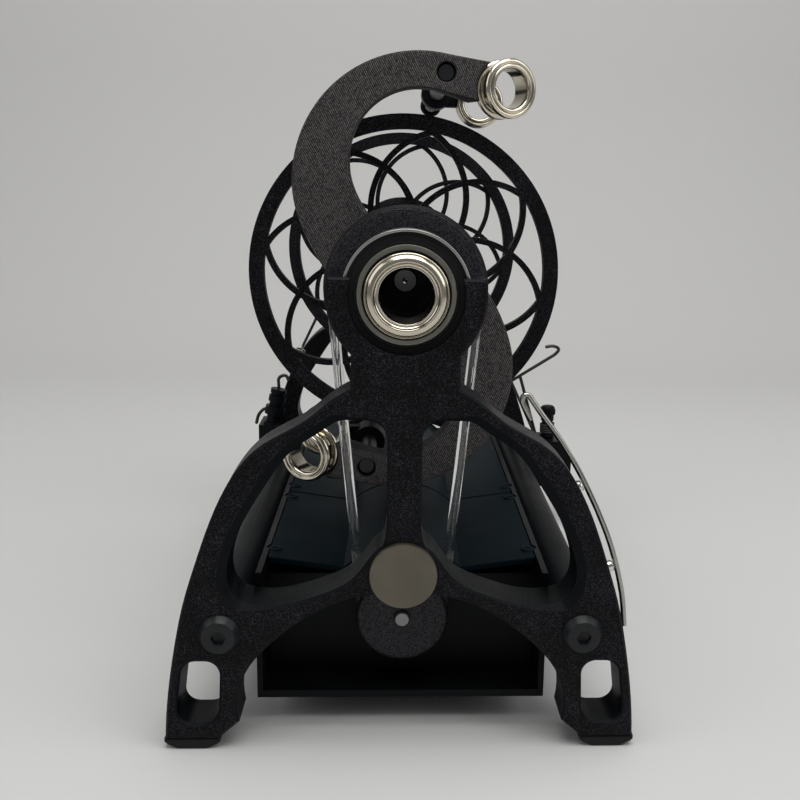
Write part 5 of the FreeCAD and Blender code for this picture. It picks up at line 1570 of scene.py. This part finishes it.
@dataclass
class Flyer(SubAssembly):
    """Orifice, hub, S plate with its rings and rods, and the spindle."""

    ring_at: Point = (31.8, 59.0, 61.0)
    ring_turn: float = 26.0
    plate_y: Pair = (56.0, 64.0)
    plate_edge: float = 0.6
    seat_r: float = 9.75
    rod_at: Pair = (12.5, 65.7)
    rod_r: float = 3.0
    rod_y: Pair = (58.5, 203.5)
    cap_y: Pair = (201.0, 206.0)
    cap_r: float = 4.8
    spindle_r: float = 4.0
    spindle_y: Pair = (46.5, 235.0)
    insert: tuple[Pair, ...] = (
        (8.7, 14.6), (8.7, 1.6), (12.1, 1.6), (12.12, 1.05), (12.02, 0.8), (11.86, 0.72), (11.7, 0.8),
        (11.6, 0.86), (11.5, 0.74), (11.3, 0.42), (11.0, 0.12), (10.6, -0.14), (10.2, -0.3), (9.85, -0.38),
        (9.6, -0.4), (9.42, -0.3), (9.3, -0.08), (9.1, 0.25), (8.85, 0.5), (8.6, 0.64), (8.4, 0.66),
        (8.2, 0.58), (8.02, 0.62), (7.9, 0.8), (7.82, 1.1), (7.8, 1.6), (7.8, 14.6))

    def build(self) -> None:
        """Make the flyer's visible pieces; dress the hub and collars."""
        self.dress({"flyer_hub": PLAIN_BLACK, "hub_yoke": PLAIN_BLACK, "thrust_collar": PLAIN_BLACK,
                    "rear_collar": PLAIN_BLACK})
        Shell.lathe(self.insert, 160).piece("orifice_lip", "flyer", NICKEL, "nickel",
                                            ["orifice_insert"], angle=50)
        self.plate().piece("s_plate", "flyer", RASTER, "printed_black", ["flyer_plate"], angle=11)
        ring = Eyelet().shell(self.ring_at, self.ring_turn)
        self.both(ring).piece("fixed_guide_rings", "flyer", NICKEL, "nickel", ["fixed_rings"], angle=50)
        self.both(self.rod()).piece("guide_rods", "flyer", DARK_STEEL, "rod_steel", ["flyer_rods"])
        self.both(self.cap()).piece("rod_stop_caps", "flyer", PLAIN_BLACK, "smooth_black", ["rod_caps"])
        self.spindle().piece("spindle_rod", "flyer", SPINDLE, "spindle_steel", ["spindle"])

    def both(self, shell: Shell) -> Shell:
        """The shell and its copy half a turn round the spindle."""
        return shell + shell.turned(180)

    def plate(self) -> Shell:
        """S plate with rounded edges, its ring seats turned with the rings.

        Returns:
            The plate.
        """
        y0, y1 = self.plate_y
        loops = loops_at(self.frame["flyer_plate"], y1)
        outline = loops[0] if area(loops[0]) > 0 else loops[0][::-1]
        shell = Shell.slab(outline, loops[1:], y0, y1, self.plate_edge)
        count = len(outline)
        levels = len(shell.points) // sum(len(loop) for loop in loops)
        slope = math.tan(math.radians(self.ring_turn))
        squash = math.cos(math.radians(self.ring_turn))
        for side in (1, -1):
            centre = side * (self.ring_at[0] - (y1 - self.ring_at[1]) * slope)
            for i, (x, z) in enumerate(outline):
                if math.hypot((x - centre) * squash, z - side * self.ring_at[2]) < self.seat_r:
                    for point in shell.points[i:levels * count:count]:
                        point.x += side * (y1 - point.y) * slope
        return shell

    def rod(self) -> Shell:
        """Right rod with chamfered ends.

        Returns:
            The rod.
        """
        y0, y1 = self.rod_y
        r = self.rod_r
        profile = [(0, y0), (r - 0.5, y0), (r, y0 + 0.5), (r, y1 - 0.5), (r - 0.5, y1), (0, y1)]
        return Shell.lathe(profile, 48).moved(self.rod_at[0], 0, self.rod_at[1])

    def cap(self) -> Shell:
        """Stop cap on the right rod's end.

        Returns:
            The cap.
        """
        y0, y1 = self.cap_y
        profile = soften([(self.rod_r, y0), (self.cap_r, y0), (self.cap_r, y1), (0, y1), (0, y1 - 2.5),
                          (self.rod_r, y1 - 2.5)], 1.1, 4)
        return Shell.lathe(profile, 64).moved(self.rod_at[0], 0, self.rod_at[1])

    def spindle(self) -> Shell:
        """Spindle with chamfered ends and a centre hole in each.

        Returns:
            The spindle.
        """
        y0, y1 = self.spindle_y
        r = self.spindle_r
        profile = [(0, y0 + 0.9), (0.9, y0), (r - 0.5, y0), (r, y0 + 0.5), (r, y1 - 0.5), (r - 0.5, y1),
                   (0.9, y1), (0, y1 - 0.9)]
        return Shell.lathe(profile, 72)


@dataclass
class Sliders(SubAssembly):
    """Two sliding guides, each a printed carrier with a ring."""

    ring_at: Pair = (29.8, 62.4)
    upper_y: float = 140.0
    lower_y: float = 98.0

    def build(self) -> None:
        """Make the rings; dress the carriers."""
        self.dress({"slider_upper": PLAIN_BLACK, "slider_lower": PLAIN_BLACK})
        x, z = self.ring_at
        upper = Eyelet().shell((x, self.upper_y, z))
        upper.piece("upper_guide_ring", "upper_slider", NICKEL, "nickel", ["slider_upper_ring"], angle=50)
        lower = Eyelet().shell((x, self.lower_y, z)).turned(180)
        lower.piece("lower_guide_ring", "lower_slider", NICKEL, "nickel", ["slider_lower_ring"], angle=50)


@dataclass
class Bobbin(SubAssembly):
    """Openwork bobbin with its brake whorl and bushes."""

    y0: float = 72.0
    y1: float = 209.5
    whorl_end: float = 216.0
    bush_r: float = 8.0
    bush_l: float = 9.0
    bore_r: float = 4.05
    whorl_r: float = 24.0
    groove: float = 2.5
    cord: float = 1.6
    core_r: float = 15.0
    core_wall: float = 2.0
    disc_t: float = 4.0
    web: float = 4.0
    whorl_lip: float = 1.2

    def build(self) -> None:
        """Make the core, whorl and bushes; dress the discs."""
        self.dress({"bobbin_front_disc": GRAINY, "bobbin_rear_disc": GRAINY})
        self.core().piece("bobbin_tube", "bobbin", PLAIN_BLACK, "smooth_black", ["bobbin_core"])
        self.whorl().piece("whorl_wheel", "bobbin", RIM_PRINT, "printed_black", ["brake_whorl"])
        front = self.bush(self.y0, self.y0 + self.bush_l)
        rear = self.bush(self.y1 - self.bush_l, self.whorl_end)
        (front + rear).piece("bobbin_bush_pair", "bobbin", BUSH, "bush_tan", ["bobbin_bushes"])

    def bush(self, low: float, high: float) -> Shell:
        """Plain bush between two planes."""
        profile = [(self.bore_r, low), (self.bush_r, low), (self.bush_r, high), (self.bore_r, high)]
        return Shell.lathe(soften(profile, 0.5), 80)

    def core(self) -> Shell:
        """Tube with a web at either end and a shallow grip groove beside each disc.

        Returns:
            The tube.
        """
        low, high = self.y0 + self.disc_t, self.y1 - self.disc_t
        r, wall, bore, web = self.core_r, self.core_wall, self.bush_r + 0.05, self.web
        profile = [(r, low), (r, low + 2), (r - 0.4, low + 2.4), (r - 0.4, low + 3.4), (r, low + 3.8),
                   (r, high - 3.8), (r - 0.4, high - 3.4), (r - 0.4, high - 2.4), (r, high - 2), (r, high),
                   (bore, high), (bore, high - web), (r - wall, high - web), (r - wall, low + web),
                   (bore, low + web), (bore, low)]
        return Shell.lathe(profile, 120)

    def whorl(self) -> Shell:
        """Grooved wheel behind the rear disc.

        Returns:
            The wheel.
        """
        low, high, top = self.y1, self.whorl_end, self.whorl_r
        middle, floor, lip, bore = (low + high) / 2, top - self.groove, self.whorl_lip, self.bush_r + 0.05
        half = self.cord / 2
        profile = [(bore, low), (top, low), (top, low + lip), (floor, middle - half), (floor, middle + half),
                   (top, high - lip), (top, high), (bore, high)]
        return Shell.lathe(soften(profile, 0.35), 144)


@dataclass(frozen=True)
class PanScrew:
    """Low domed screw with a socket, its seat at y = 0 and its shank along +Y."""

    head_r: float
    head_h: float
    shank_r: float
    length: float

    def shell(self) -> Shell:
        """Turn the screw's profile.

        Returns:
            The screw.
        """
        r, h, shank = self.head_r, self.head_h, self.shank_r
        dome = [(0, -0.2 * h), (0.34 * r, -0.2 * h), (0.42 * r, -h), (0.74 * r, -0.96 * h),
                (0.93 * r, -0.7 * h), (r, 0), (shank, 0), (shank, self.length), (0, self.length)]
        return Shell.lathe(dome, 36)


@dataclass
class Base(SubAssembly):
    """Tray between the rails, its covers and their screws."""

    cover_y: tuple[Pair, ...] = ((30.0, 100.0), (100.8, 219.9))
    cover_edge: float = 0.45
    cover_x: float = 42.1
    cover_screw_y: tuple[float, ...] = (38.0, 94.0, 108.0, 214.2)
    cover_screw_z: float = -88.18
    cover_screw: PanScrew = PanScrew(2.5, 0.35, 1.2, 5.4)
    motor_screw: PanScrew = PanScrew(2.5, 1.1, 1.5, 5.0)
    motor_screw_x: float = 12.5
    motor_screw_y: float = 31.6
    motor_z: float = -105.0
    board_screw: PanScrew = PanScrew(2.4, 1.2, 1.2, 5.0)
    board_x: Pair = (-28.0, 26.0)
    board_y: Pair = (144.0, 186.0)
    board_z: float = -120.5

    def build(self) -> None:
        """Make the covers and screws; dress the tray."""
        self.dress({"base_tray": PLAIN_BLACK, "tray_walls": PLAIN_BLACK})
        for name, (low, high) in zip(("front_cover", "rear_cover"), self.cover_y):
            loops = loops_at(self.frame[name], low)
            shell = Shell.slab(loops[0], [], low, high, self.cover_edge, 4)
            shell.piece(name + "_lid", "stand", COVER, "cover_grey", [name], angle=25)
        self.screws().piece("base_screw_set", "stand", COVER, "screw_black", ["base_screws"])

    def screws(self) -> Shell:
        """All screws of the base.

        Returns:
            The screws.
        """
        spots = SpotArray()
        lid = self.cover_screw.shell().turned(-90, "X")
        sides = (-self.cover_x, self.cover_x)
        shell = spots.on(lid, [(x, y, self.cover_screw_z) for x in sides for y in self.cover_screw_y], COVER)
        sides = (-self.motor_screw_x, self.motor_screw_x)
        places = [(x, self.motor_screw_y, self.motor_z) for x in sides]
        shell += spots.on(self.motor_screw.shell(), places, COVER)
        board = self.board_screw.shell().turned(-90, "X")
        places = [(x, y, self.board_z) for x in self.board_x for y in self.board_y]
        return shell + spots.on(board, places, COVER)


@dataclass
class Controls(SubAssembly):
    """Controller board and the knob, switches and inlet in the rear wall."""

    wall_y: float = 222.0
    z: float = -113.0
    knob_x: float = 25.0
    knob_face_y: float = 237.2
    pointer: Pair = (1.7, 7.6)
    rest_turn: float = 150.0
    scale_r: float = 9.9
    ticks: int = 11
    print_t: float = 0.06

    def build(self) -> None:
        """Dress the housings and add the marks of the controls."""
        self.dress({"controller_board": BOARD, "speed_dial": BEARING, "speed_knob": KNOB,
                    "power_switch": SWITCH, "power_rocker": SWITCH, "direction_switch": SWITCH,
                    "direction_rocker": SWITCH, "power_inlet": SWITCH})
        self.scale().piece("speed_scale", "stand", MARK, "smooth_black")
        self.needle().piece("speed_pointer", "speed_knob", MARK, "knob_black")
        off = Shell.tube([Vector((x, 0, z)) for x, z in circle(1.2, 32)], 0.18, 8, True)
        bar = self.printed([(-0.2, -1.3), (0.2, -1.3), (0.2, 1.3), (-0.2, 1.3)])
        power = self.on_face(off, "power_rocker", True) + self.on_face(bar, "power_rocker", False)
        power.piece("power_marks", "power_rocker", MARK, "rocker_black")
        arrow = self.printed([(-1.3, 0.0), (0.9, -1.2), (0.9, 1.2)])
        ways = self.on_face(arrow, "direction_rocker", True)
        ways += self.on_face(arrow.mirrored(), "direction_rocker", False)
        ways.piece("direction_marks", "direction_rocker", MARK, "rocker_black")

    def scale(self) -> Shell:
        """Dots round the speed knob, from off to full speed.

        Returns:
            The dots.
        """
        dot = Shell.lathe([(0, -0.2), (0.32, -0.2), (0.32, self.print_t - 0.02), (0.3, self.print_t),
                           (0, self.print_t)], 20)
        step = 2 * self.rest_turn / (self.ticks - 1)
        turns = [math.radians(k * step - self.rest_turn) for k in range(self.ticks)]
        return SpotArray().on(dot, [(self.knob_x + self.scale_r * math.sin(a), self.wall_y,
                                     self.z + self.scale_r * math.cos(a)) for a in turns], MARK)

    def needle(self) -> Shell:
        """Paint in the groove of the speed knob.

        Returns:
            The paint.
        """
        low, high = self.pointer
        paint = Shell.box((self.knob_x - 0.5, self.knob_face_y - 0.6, self.z + low),
                          (self.knob_x + 0.5, self.knob_face_y - 0.15, self.z + high), 0.05, 0.3)
        return paint.turned(self.rest_turn, "Y", (self.knob_x, 0, self.z))

    def printed(self, outline: Sequence[Pair]) -> Shell:
        """Thin print of an outline that faces along +Y."""
        return Shell.slab(soften(outline, 0.15, 2, False), [], -0.2, self.print_t, 0.02)

    def on_face(self, shell: Shell, node: str, upper: bool) -> Shell:
        """Shell set on the middle of a rocker's upper or lower face.

        Args:
            shell: what is set down.
            node: the rocker.
            upper: whether it goes on the upper face.

        Returns:
            The moved shell.
        """
        faces = [p for p in self.frame[node].data.polygons
                 if p.normal.y > 0.8 and (p.center.z / MM > self.z) == upper]
        share = sum(p.area for p in faces)
        middle = sum((p.center * (p.area / share) for p in faces), Vector()) / MM
        normal = sum((p.normal * p.area for p in faces), Vector())
        return shell.aimed(middle, normal)


@dataclass
class Brake(SubAssembly):
    """Bobbin brake: cord over the whorl, spring, hooked post, tension knob and wire arm."""

    cord_y: float = 212.75
    cord_r: float = 0.8
    wrap_r: float = 22.35
    hooked: Pair = (0.7700, 0.4634)
    entry_x: float = 68.9
    entry_z: float = -94.0
    cord_tail: float = 3.0
    core_share: float = 0.62
    strands: int = 6
    strand_turns: float = 46.0
    strand_offset: float = 0.55
    strand_share: float = 0.33
    spring_l: float = 16.0
    spring_r: float = 2.05
    spring_wire: float = 0.42
    spring_tail: float = 2.5
    turns: float = 13.0
    wire_r: float = 0.8
    upper_hook: tuple[Pair, ...] = ((0.8443, 0.5270), (0.8499, 0.4782), (0.7938, 0.4678), (0.7770, 0.4915))
    lower_hook: tuple[Pair, ...] = ((0.8780, 0.5966), (0.9453, 0.5936), (0.9902, 0.6173), (1.0070, 0.6543))
    arm: tuple[Pair, ...] = ((0.7097, 0.5226), (1.1024, 0.3908), (1.1332, 0.3701), (1.0856, 0.3583),
                             (1.0266, 0.3642))
    strut_head: Pair = (0.8555, 0.4782)
    strut_foot: Pair = (70.6, -97.0)
    wire_y: float = 221.15
    knob_x: float = 74.5
    knob_top: float = -94.0
    knob_profile: tuple[Pair, ...] = (
        (0, -13.7), (2.6, -13.7), (2.6, 0.3), (3.6, 0.3), (3.6, 1.7), (2.6, 1.9), (2.6, 8.3), (3.2, 8.7),
        (3.2, 11.5), (3.7, 11.9), (3.7, 14.6), (3.4, 15.7), (2.6, 16.3), (1.2, 16.5), (0, 16.5))
    flutes: int = 18
    flute_at: float = 3.62
    flute_r: float = 0.36
    flute_z: tuple[float, ...] = (12.1, 13.3, 14.6)
    wound_turns: float = 4.2
    wound_r: float = 3.1
    wound_wire: float = 0.6
    wound_h: float = 4.8
    wound_lift: float = 2.6

    def build(self) -> None:
        """Make the cord, spring, wires and knob; dress the post and block."""
        self.dress({"anchor_post": PLAIN_BLACK, "tension_block": PLAIN_BLACK})
        left, path, along = self.cord_path()
        core = Shell.tube(path, self.core_share * self.cord_r, 10)
        strands = Braid().along(path, self.strands, self.strand_turns, self.strand_offset * self.cord_r,
                                self.strand_share * self.cord_r, CORD)
        (core + strands).piece("brake_line", "stand", CORD, "cord_grey", ["brake_cord"])
        self.spring(left, along).piece("tension_spring", "stand", SPRING, "spring_steel", ["brake_spring"])
        self.hooks().piece("hook_wires", "stand", DARK_WIRE, "wire_dark", ["cup_hooks"])
        self.arms().piece("guide_wire_arm", "stand", DARK_WIRE, "wire_dark", ["guide_wires"])
        self.knob().piece("tension_winder", "tension_knob", PLAIN_BLACK, "smooth_black", ["tension_knob"])
        self.winding().piece("winder_cord", "tension_knob", CORD, "cord_grey")

    def touch(self, place: Vector, side: int) -> Vector:
        """Where a line from a place touches the cord's wrap, on the given side.

        Args:
            place: where the line starts.
            side: 1 or -1 for the tangent's side.

        Returns:
            The point on the wrap.
        """
        base = math.atan2(place.z, place.x)
        swing = math.acos(self.wrap_r / math.hypot(place.x, place.z))
        angle = base + side * swing
        return Vector((self.wrap_r * math.cos(angle), self.cord_y, self.wrap_r * math.sin(angle)))

    def cord_path(self) -> tuple[Vector, list[Vector], Vector]:
        """Run the cord from the spring over the whorl into the block.

        Returns:
            The spring's foot, the points of the cord's path and the spring's direction.
        """
        foot = GRID.spot(-self.hooked[0], self.hooked[1], self.cord_y)
        entry = Vector((self.entry_x, self.cord_y, self.entry_z))
        left = self.touch(foot, -1)
        right = self.touch(entry, 1)
        along = (left - foot).normalized()
        first = math.atan2(left.z, left.x)
        last = math.atan2(right.z, right.x)
        start = foot + along * (self.spring_l - 0.5)
        path = [start, start.lerp(left, 0.5)]
        for k in range(33):
            a = first + (last - first) * k / 32
            path.append(Vector((self.wrap_r * math.cos(a), self.cord_y, self.wrap_r * math.sin(a))))
        path.append(right.lerp(entry, 0.5))
        path.append(entry + (entry - right).normalized() * self.cord_tail)
        return foot, path, along

    def spring(self, foot: Vector, along: Vector) -> Shell:
        """Close-wound spring with a straight tail at either end.

        Args:
            foot: where the spring starts.
            along: its direction.

        Returns:
            The spring.
        """
        coil = Coil().run(SPRING, Turns=self.turns, Radius=self.spring_r * MM, Wire=self.spring_wire * MM,
                          Height=(self.spring_l - 2 * self.spring_tail) * MM)
        coil = coil.turned(-90, "X").aimed(foot + along * self.spring_tail, along)
        tails = []
        reach = self.spring_tail + 0.2
        for low, high in ((0.2, reach), (self.spring_l - reach, self.spring_l - 0.2)):
            line = [foot + along * low, foot + along * (low + high) / 2, foot + along * high]
            tails.append(Shell.tube(line, self.spring_wire * 1.3, 10))
        return coil + tails[0] + tails[1]

    def hooks(self) -> Shell:
        """Two open hooks of bent wire on the left post.

        Returns:
            The hooks.
        """
        shells = []
        for corners in (self.upper_hook, self.lower_hook):
            path = bent([GRID.spot(-across, down, self.cord_y) for across, down in corners])
            shells.append(Shell.tube(path, self.wire_r, 14))
        return Shell.gather(shells)

    def arms(self) -> Shell:
        """Wire arm with its hooked end, and the strut under it.

        Returns:
            The wires.
        """
        arm = bent([GRID.spot(across, down, self.wire_y) for across, down in self.arm])
        foot = Vector((self.strut_foot[0], self.wire_y, self.strut_foot[1]))
        head = GRID.spot(*self.strut_head, self.wire_y)
        strut = [foot, foot.lerp(head, 0.5), head]
        return Shell.tube(arm, self.wire_r, 14) + Shell.tube(strut, self.wire_r, 14)

    def knob(self) -> Shell:
        """Mushroom knob on its stem, with a fluted head.

        Returns:
            The knob.
        """
        body = Shell.lathe(soften(self.knob_profile, 0.25), 56).turned(90, "X")
        flute = Shell.tube([Vector((0, 0, z)) for z in self.flute_z], self.flute_r, 8)
        flutes = RoundArray().around_y(flute, self.flutes, self.flute_at, PLAIN_BLACK)
        return (body + flutes.turned(90, "X")).moved(self.knob_x, self.cord_y, self.knob_top)

    def winding(self) -> Shell:
        """Turns of cord on the knob's stem.

        Returns:
            The winding.
        """
        coil = Coil().run(CORD, Turns=self.wound_turns, Radius=self.wound_r * MM, Wire=self.wound_wire * MM,
                          Height=self.wound_h * MM)
        return coil.moved(self.knob_x, self.cord_y, self.knob_top + self.wound_lift)


@dataclass
class ThreadingSet(SubAssembly):
    """Parking magnet, the threading hook and the magnet pins that hold it."""

    magnet_r: float = 10.0
    magnet_t: float = 3.0
    proud: float = 1.6
    magnet_z: float = -82.0
    wire_r: float = 0.85
    hook_y: float = 7.0
    pin_r: float = 1.8
    pin_l: float = 6.0
    pin_gap: float = 0.2
    pins: tuple[tuple[int, float], ...] = ((6, 0.35), (8, 0.85))
    route: tuple[Pair, ...] = ((0.518, 0.2709), (0.478, 0.2295), (0.482, 0.2161), (0.505, 0.2139),
                               (0.561, 0.2561), (0.630, 0.3027), (0.727, 0.3819), (0.811, 0.4693),
                               (0.872, 0.5426), (0.914, 0.6114), (0.945, 0.6810), (0.959, 0.7513))

    def build(self) -> None:
        """Make the magnets and the hook."""
        corners = [GRID.spot(*share, self.hook_y) for share in self.route]
        hook = Shell.tube(bent(corners), self.wire_r, 18)
        hook.piece("hook_wire", "threading_hook", SPRING, "spring_steel", ["threading_hook"], angle=60)
        self.parking().piece("parking_magnet", "stand", MAGNET, "magnet_nickel", ["magnets"])
        pins = [self.pin(corners, run, share) for run, share in self.pins]
        Shell.gather(pins).piece("hook_magnet_pins", "stand", BRIGHT_PIN, "magnet_nickel")

    def parking(self) -> Shell:
        """Disc magnet with a rounded, slightly raised rim.

        Returns:
            The magnet.
        """
        low, high, r = -self.proud, self.magnet_t - self.proud, self.magnet_r
        profile = [(0, low + 0.06), (r - 1.0, low + 0.06), (r - 0.75, low), (r - 0.35, low),
                   (r - 0.1, low + 0.1), (r, low + 0.35), (r, high), (0, high)]
        return Shell.lathe(profile, 144).moved(z=self.magnet_z)

    def pin(self, corners: Sequence[Vector], run: int, share: float) -> Shell:
        """Pin from inside the maiden's edge out to the hook's wire.

        Args:
            corners: corners of the hook's wire.
            run: the run that the pin meets.
            share: how far along the run it sits.

        Returns:
            The pin.
        """
        along = corners[run + 1] - corners[run]
        inward = Vector((along.z, 0, -along.x)).normalized()
        tip = corners[run] + along * share + inward * (self.wire_r + self.pin_gap)
        r = self.pin_r
        profile = [(0, 0), (r - 0.35, 0), (r, 0.35), (r, self.pin_l), (0, self.pin_l)]
        return Shell.lathe(profile, 40).aimed(tip, inward)


# ------------------------------------------------------------------ camera, light and stage


@dataclass(frozen=True)
class Viewpoint:
    """Camera in front of the spinner, a little above its spindle and turned slightly."""

    place: Point = (-3.395, -277.135, 30.929)
    pitch: float = 12.226
    yaw: float = 2.907
    roll: float = 1.180
    focal_px: float = 1000.0
    centre_px: float = 443.128
    frame_px: float = 800.0
    sensor_mm: float = 36.0

    def build(self) -> None:
        """Create the camera and make it the scene's."""
        yaw, pitch, roll = (math.radians(a) for a in (self.yaw, self.pitch, self.roll))
        forward = Vector((math.sin(yaw) * math.cos(pitch), math.cos(yaw) * math.cos(pitch), -math.sin(pitch)))
        right = Vector((math.cos(yaw), -math.sin(yaw), 0.0))
        up = right.cross(forward)
        turned_right = right * math.cos(roll) + up * math.sin(roll)
        turned_up = up * math.cos(roll) - right * math.sin(roll)
        data = bpy.data.cameras.new("camera")
        data.sensor_width = self.sensor_mm
        data.lens = self.focal_px / self.frame_px * data.sensor_width
        data.shift_x = -(self.centre_px - self.frame_px / 2) / self.frame_px
        data.clip_start = 0.01
        camera = in_scene("camera", data)
        rotation = Matrix((turned_right, turned_up, -forward)).transposed()
        camera.matrix_world = Matrix.Translation(Vector(self.place) * MM) @ rotation.to_4x4()
        bpy.context.scene.camera = camera


@dataclass(frozen=True)
class Lamp:
    """Square soft lamp: where it hangs, what it points at, its side, its watts and its tint."""

    name: str
    place: Point
    aim: Point
    size: float
    power: float
    colour: Colour = (1.0, 1.0, 1.0)

    def build(self) -> None:
        """Add the lamp to the scene."""
        data = bpy.data.lights.new(self.name, "AREA")
        data.size = self.size * MM
        data.energy = self.power
        data.color = self.colour
        lamp = in_scene(self.name, data)
        lamp.location = Vector(self.place) * MM
        lamp.rotation_euler = (Vector(self.aim) - Vector(self.place)).to_track_quat("-Z", "Y").to_euler()


@dataclass(frozen=True)
class Studio:
    """Pale table that curves up into a grey wall, with soft lamps."""

    table_drop: float = 138.7
    wall_y: float = 900.0
    bend: float = 300.0
    half_width: float = 2600.0
    front_y: float = -1600.0
    wall_top: float = 2200.0
    table_colour: Colour = (0.62, 0.62, 0.615)
    wall_colour: Colour = (0.66, 0.655, 0.645)
    sky_light: float = 0.19
    sky_seen: float = 0.42
    sky_colour: Colour = (0.96, 0.98, 1.0)
    steps: int = 14
    lamps: tuple[Lamp, ...] = (
        Lamp("overhead", (60, -160, 900), (0, 80, -60), 900, 8.7, (1.0, 0.99, 0.97)),
        Lamp("left_window", (-800, -150, 480), (0, 60, -40), 700, 1.7),
        Lamp("right_fill", (800, -200, 480), (0, 60, -40), 700, 2.5))

    def sweep(self) -> None:
        """Make the table and wall as one curved sheet."""
        profile = [(self.front_y, 0.0), (self.wall_y - self.bend, 0.0)]
        for k in range(1, self.steps + 1):
            a = math.pi / 2 * k / self.steps
            profile.append((self.wall_y - self.bend + self.bend * math.sin(a), self.bend * (1 - math.cos(a))))
        profile.append((self.wall_y, self.wall_top))
        verts = []
        for y, z in profile:
            for x in (-self.half_width, self.half_width):
                verts.append((x * MM, y * MM, (z - self.table_drop) * MM))
        faces = [(2 * k, 2 * k + 1, 2 * k + 3, 2 * k + 2) for k in range(len(profile) - 1)]
        mesh = bpy.data.meshes.new("studio_sweep")
        mesh.from_pydata(verts, [], faces)
        mesh.shade_smooth()
        sweep = in_scene("studio_sweep", mesh)
        material = bpy.data.materials.new("studio_paper")
        material.use_nodes = True
        nodes = Nodes(material.node_tree)
        shader = material.node_tree.nodes["Principled BSDF"]
        place = nodes.place()
        y = nodes.add("ShaderNodeSeparateXYZ", Vector=place).outputs["Y"]
        depth = nodes.spread(y, 0.2, 0.75)
        nodes.link(nodes.blend(depth, self.table_colour, self.wall_colour), shader, "Base Color")
        shader.inputs["Roughness"].default_value = 0.8
        shader.inputs["Specular IOR Level"].default_value = 0.2
        mesh.materials.append(material)

    def build(self) -> None:
        """Make the sweep, the lamps and the even world light."""
        self.sweep()
        world = bpy.data.worlds.new("studio_world")
        bpy.context.scene.world = world
        world.use_nodes = True
        nodes = Nodes(world.node_tree)
        background = world.node_tree.nodes["Background"]
        background.inputs["Color"].default_value = (*self.sky_colour, 1.0)
        seen = nodes.add("ShaderNodeLightPath").outputs["Is Camera Ray"]
        strength = nodes.math("MULTIPLY_ADD", seen, self.sky_seen - self.sky_light, self.sky_light)
        nodes.link(strength, background, "Strength")
        for lamp in self.lamps:
            lamp.build()


def main() -> None:
    """Build the spinner's pieces round its frame and light it."""
    logging.basicConfig(level=logging.INFO, format="%(message)s")
    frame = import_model()
    bpy.context.scene.view_settings.view_transform = "Standard"
    Viewpoint().build()
    Studio().build()
    for kind in (Stand, Bearings, Drive, Flyer, Sliders, Bobbin, Base, Controls, Brake, ThreadingSet):
        kind(frame["nodes"]).build()
        LOG.info("%s done", kind.__name__)


if __name__ == "__main__":
    main()
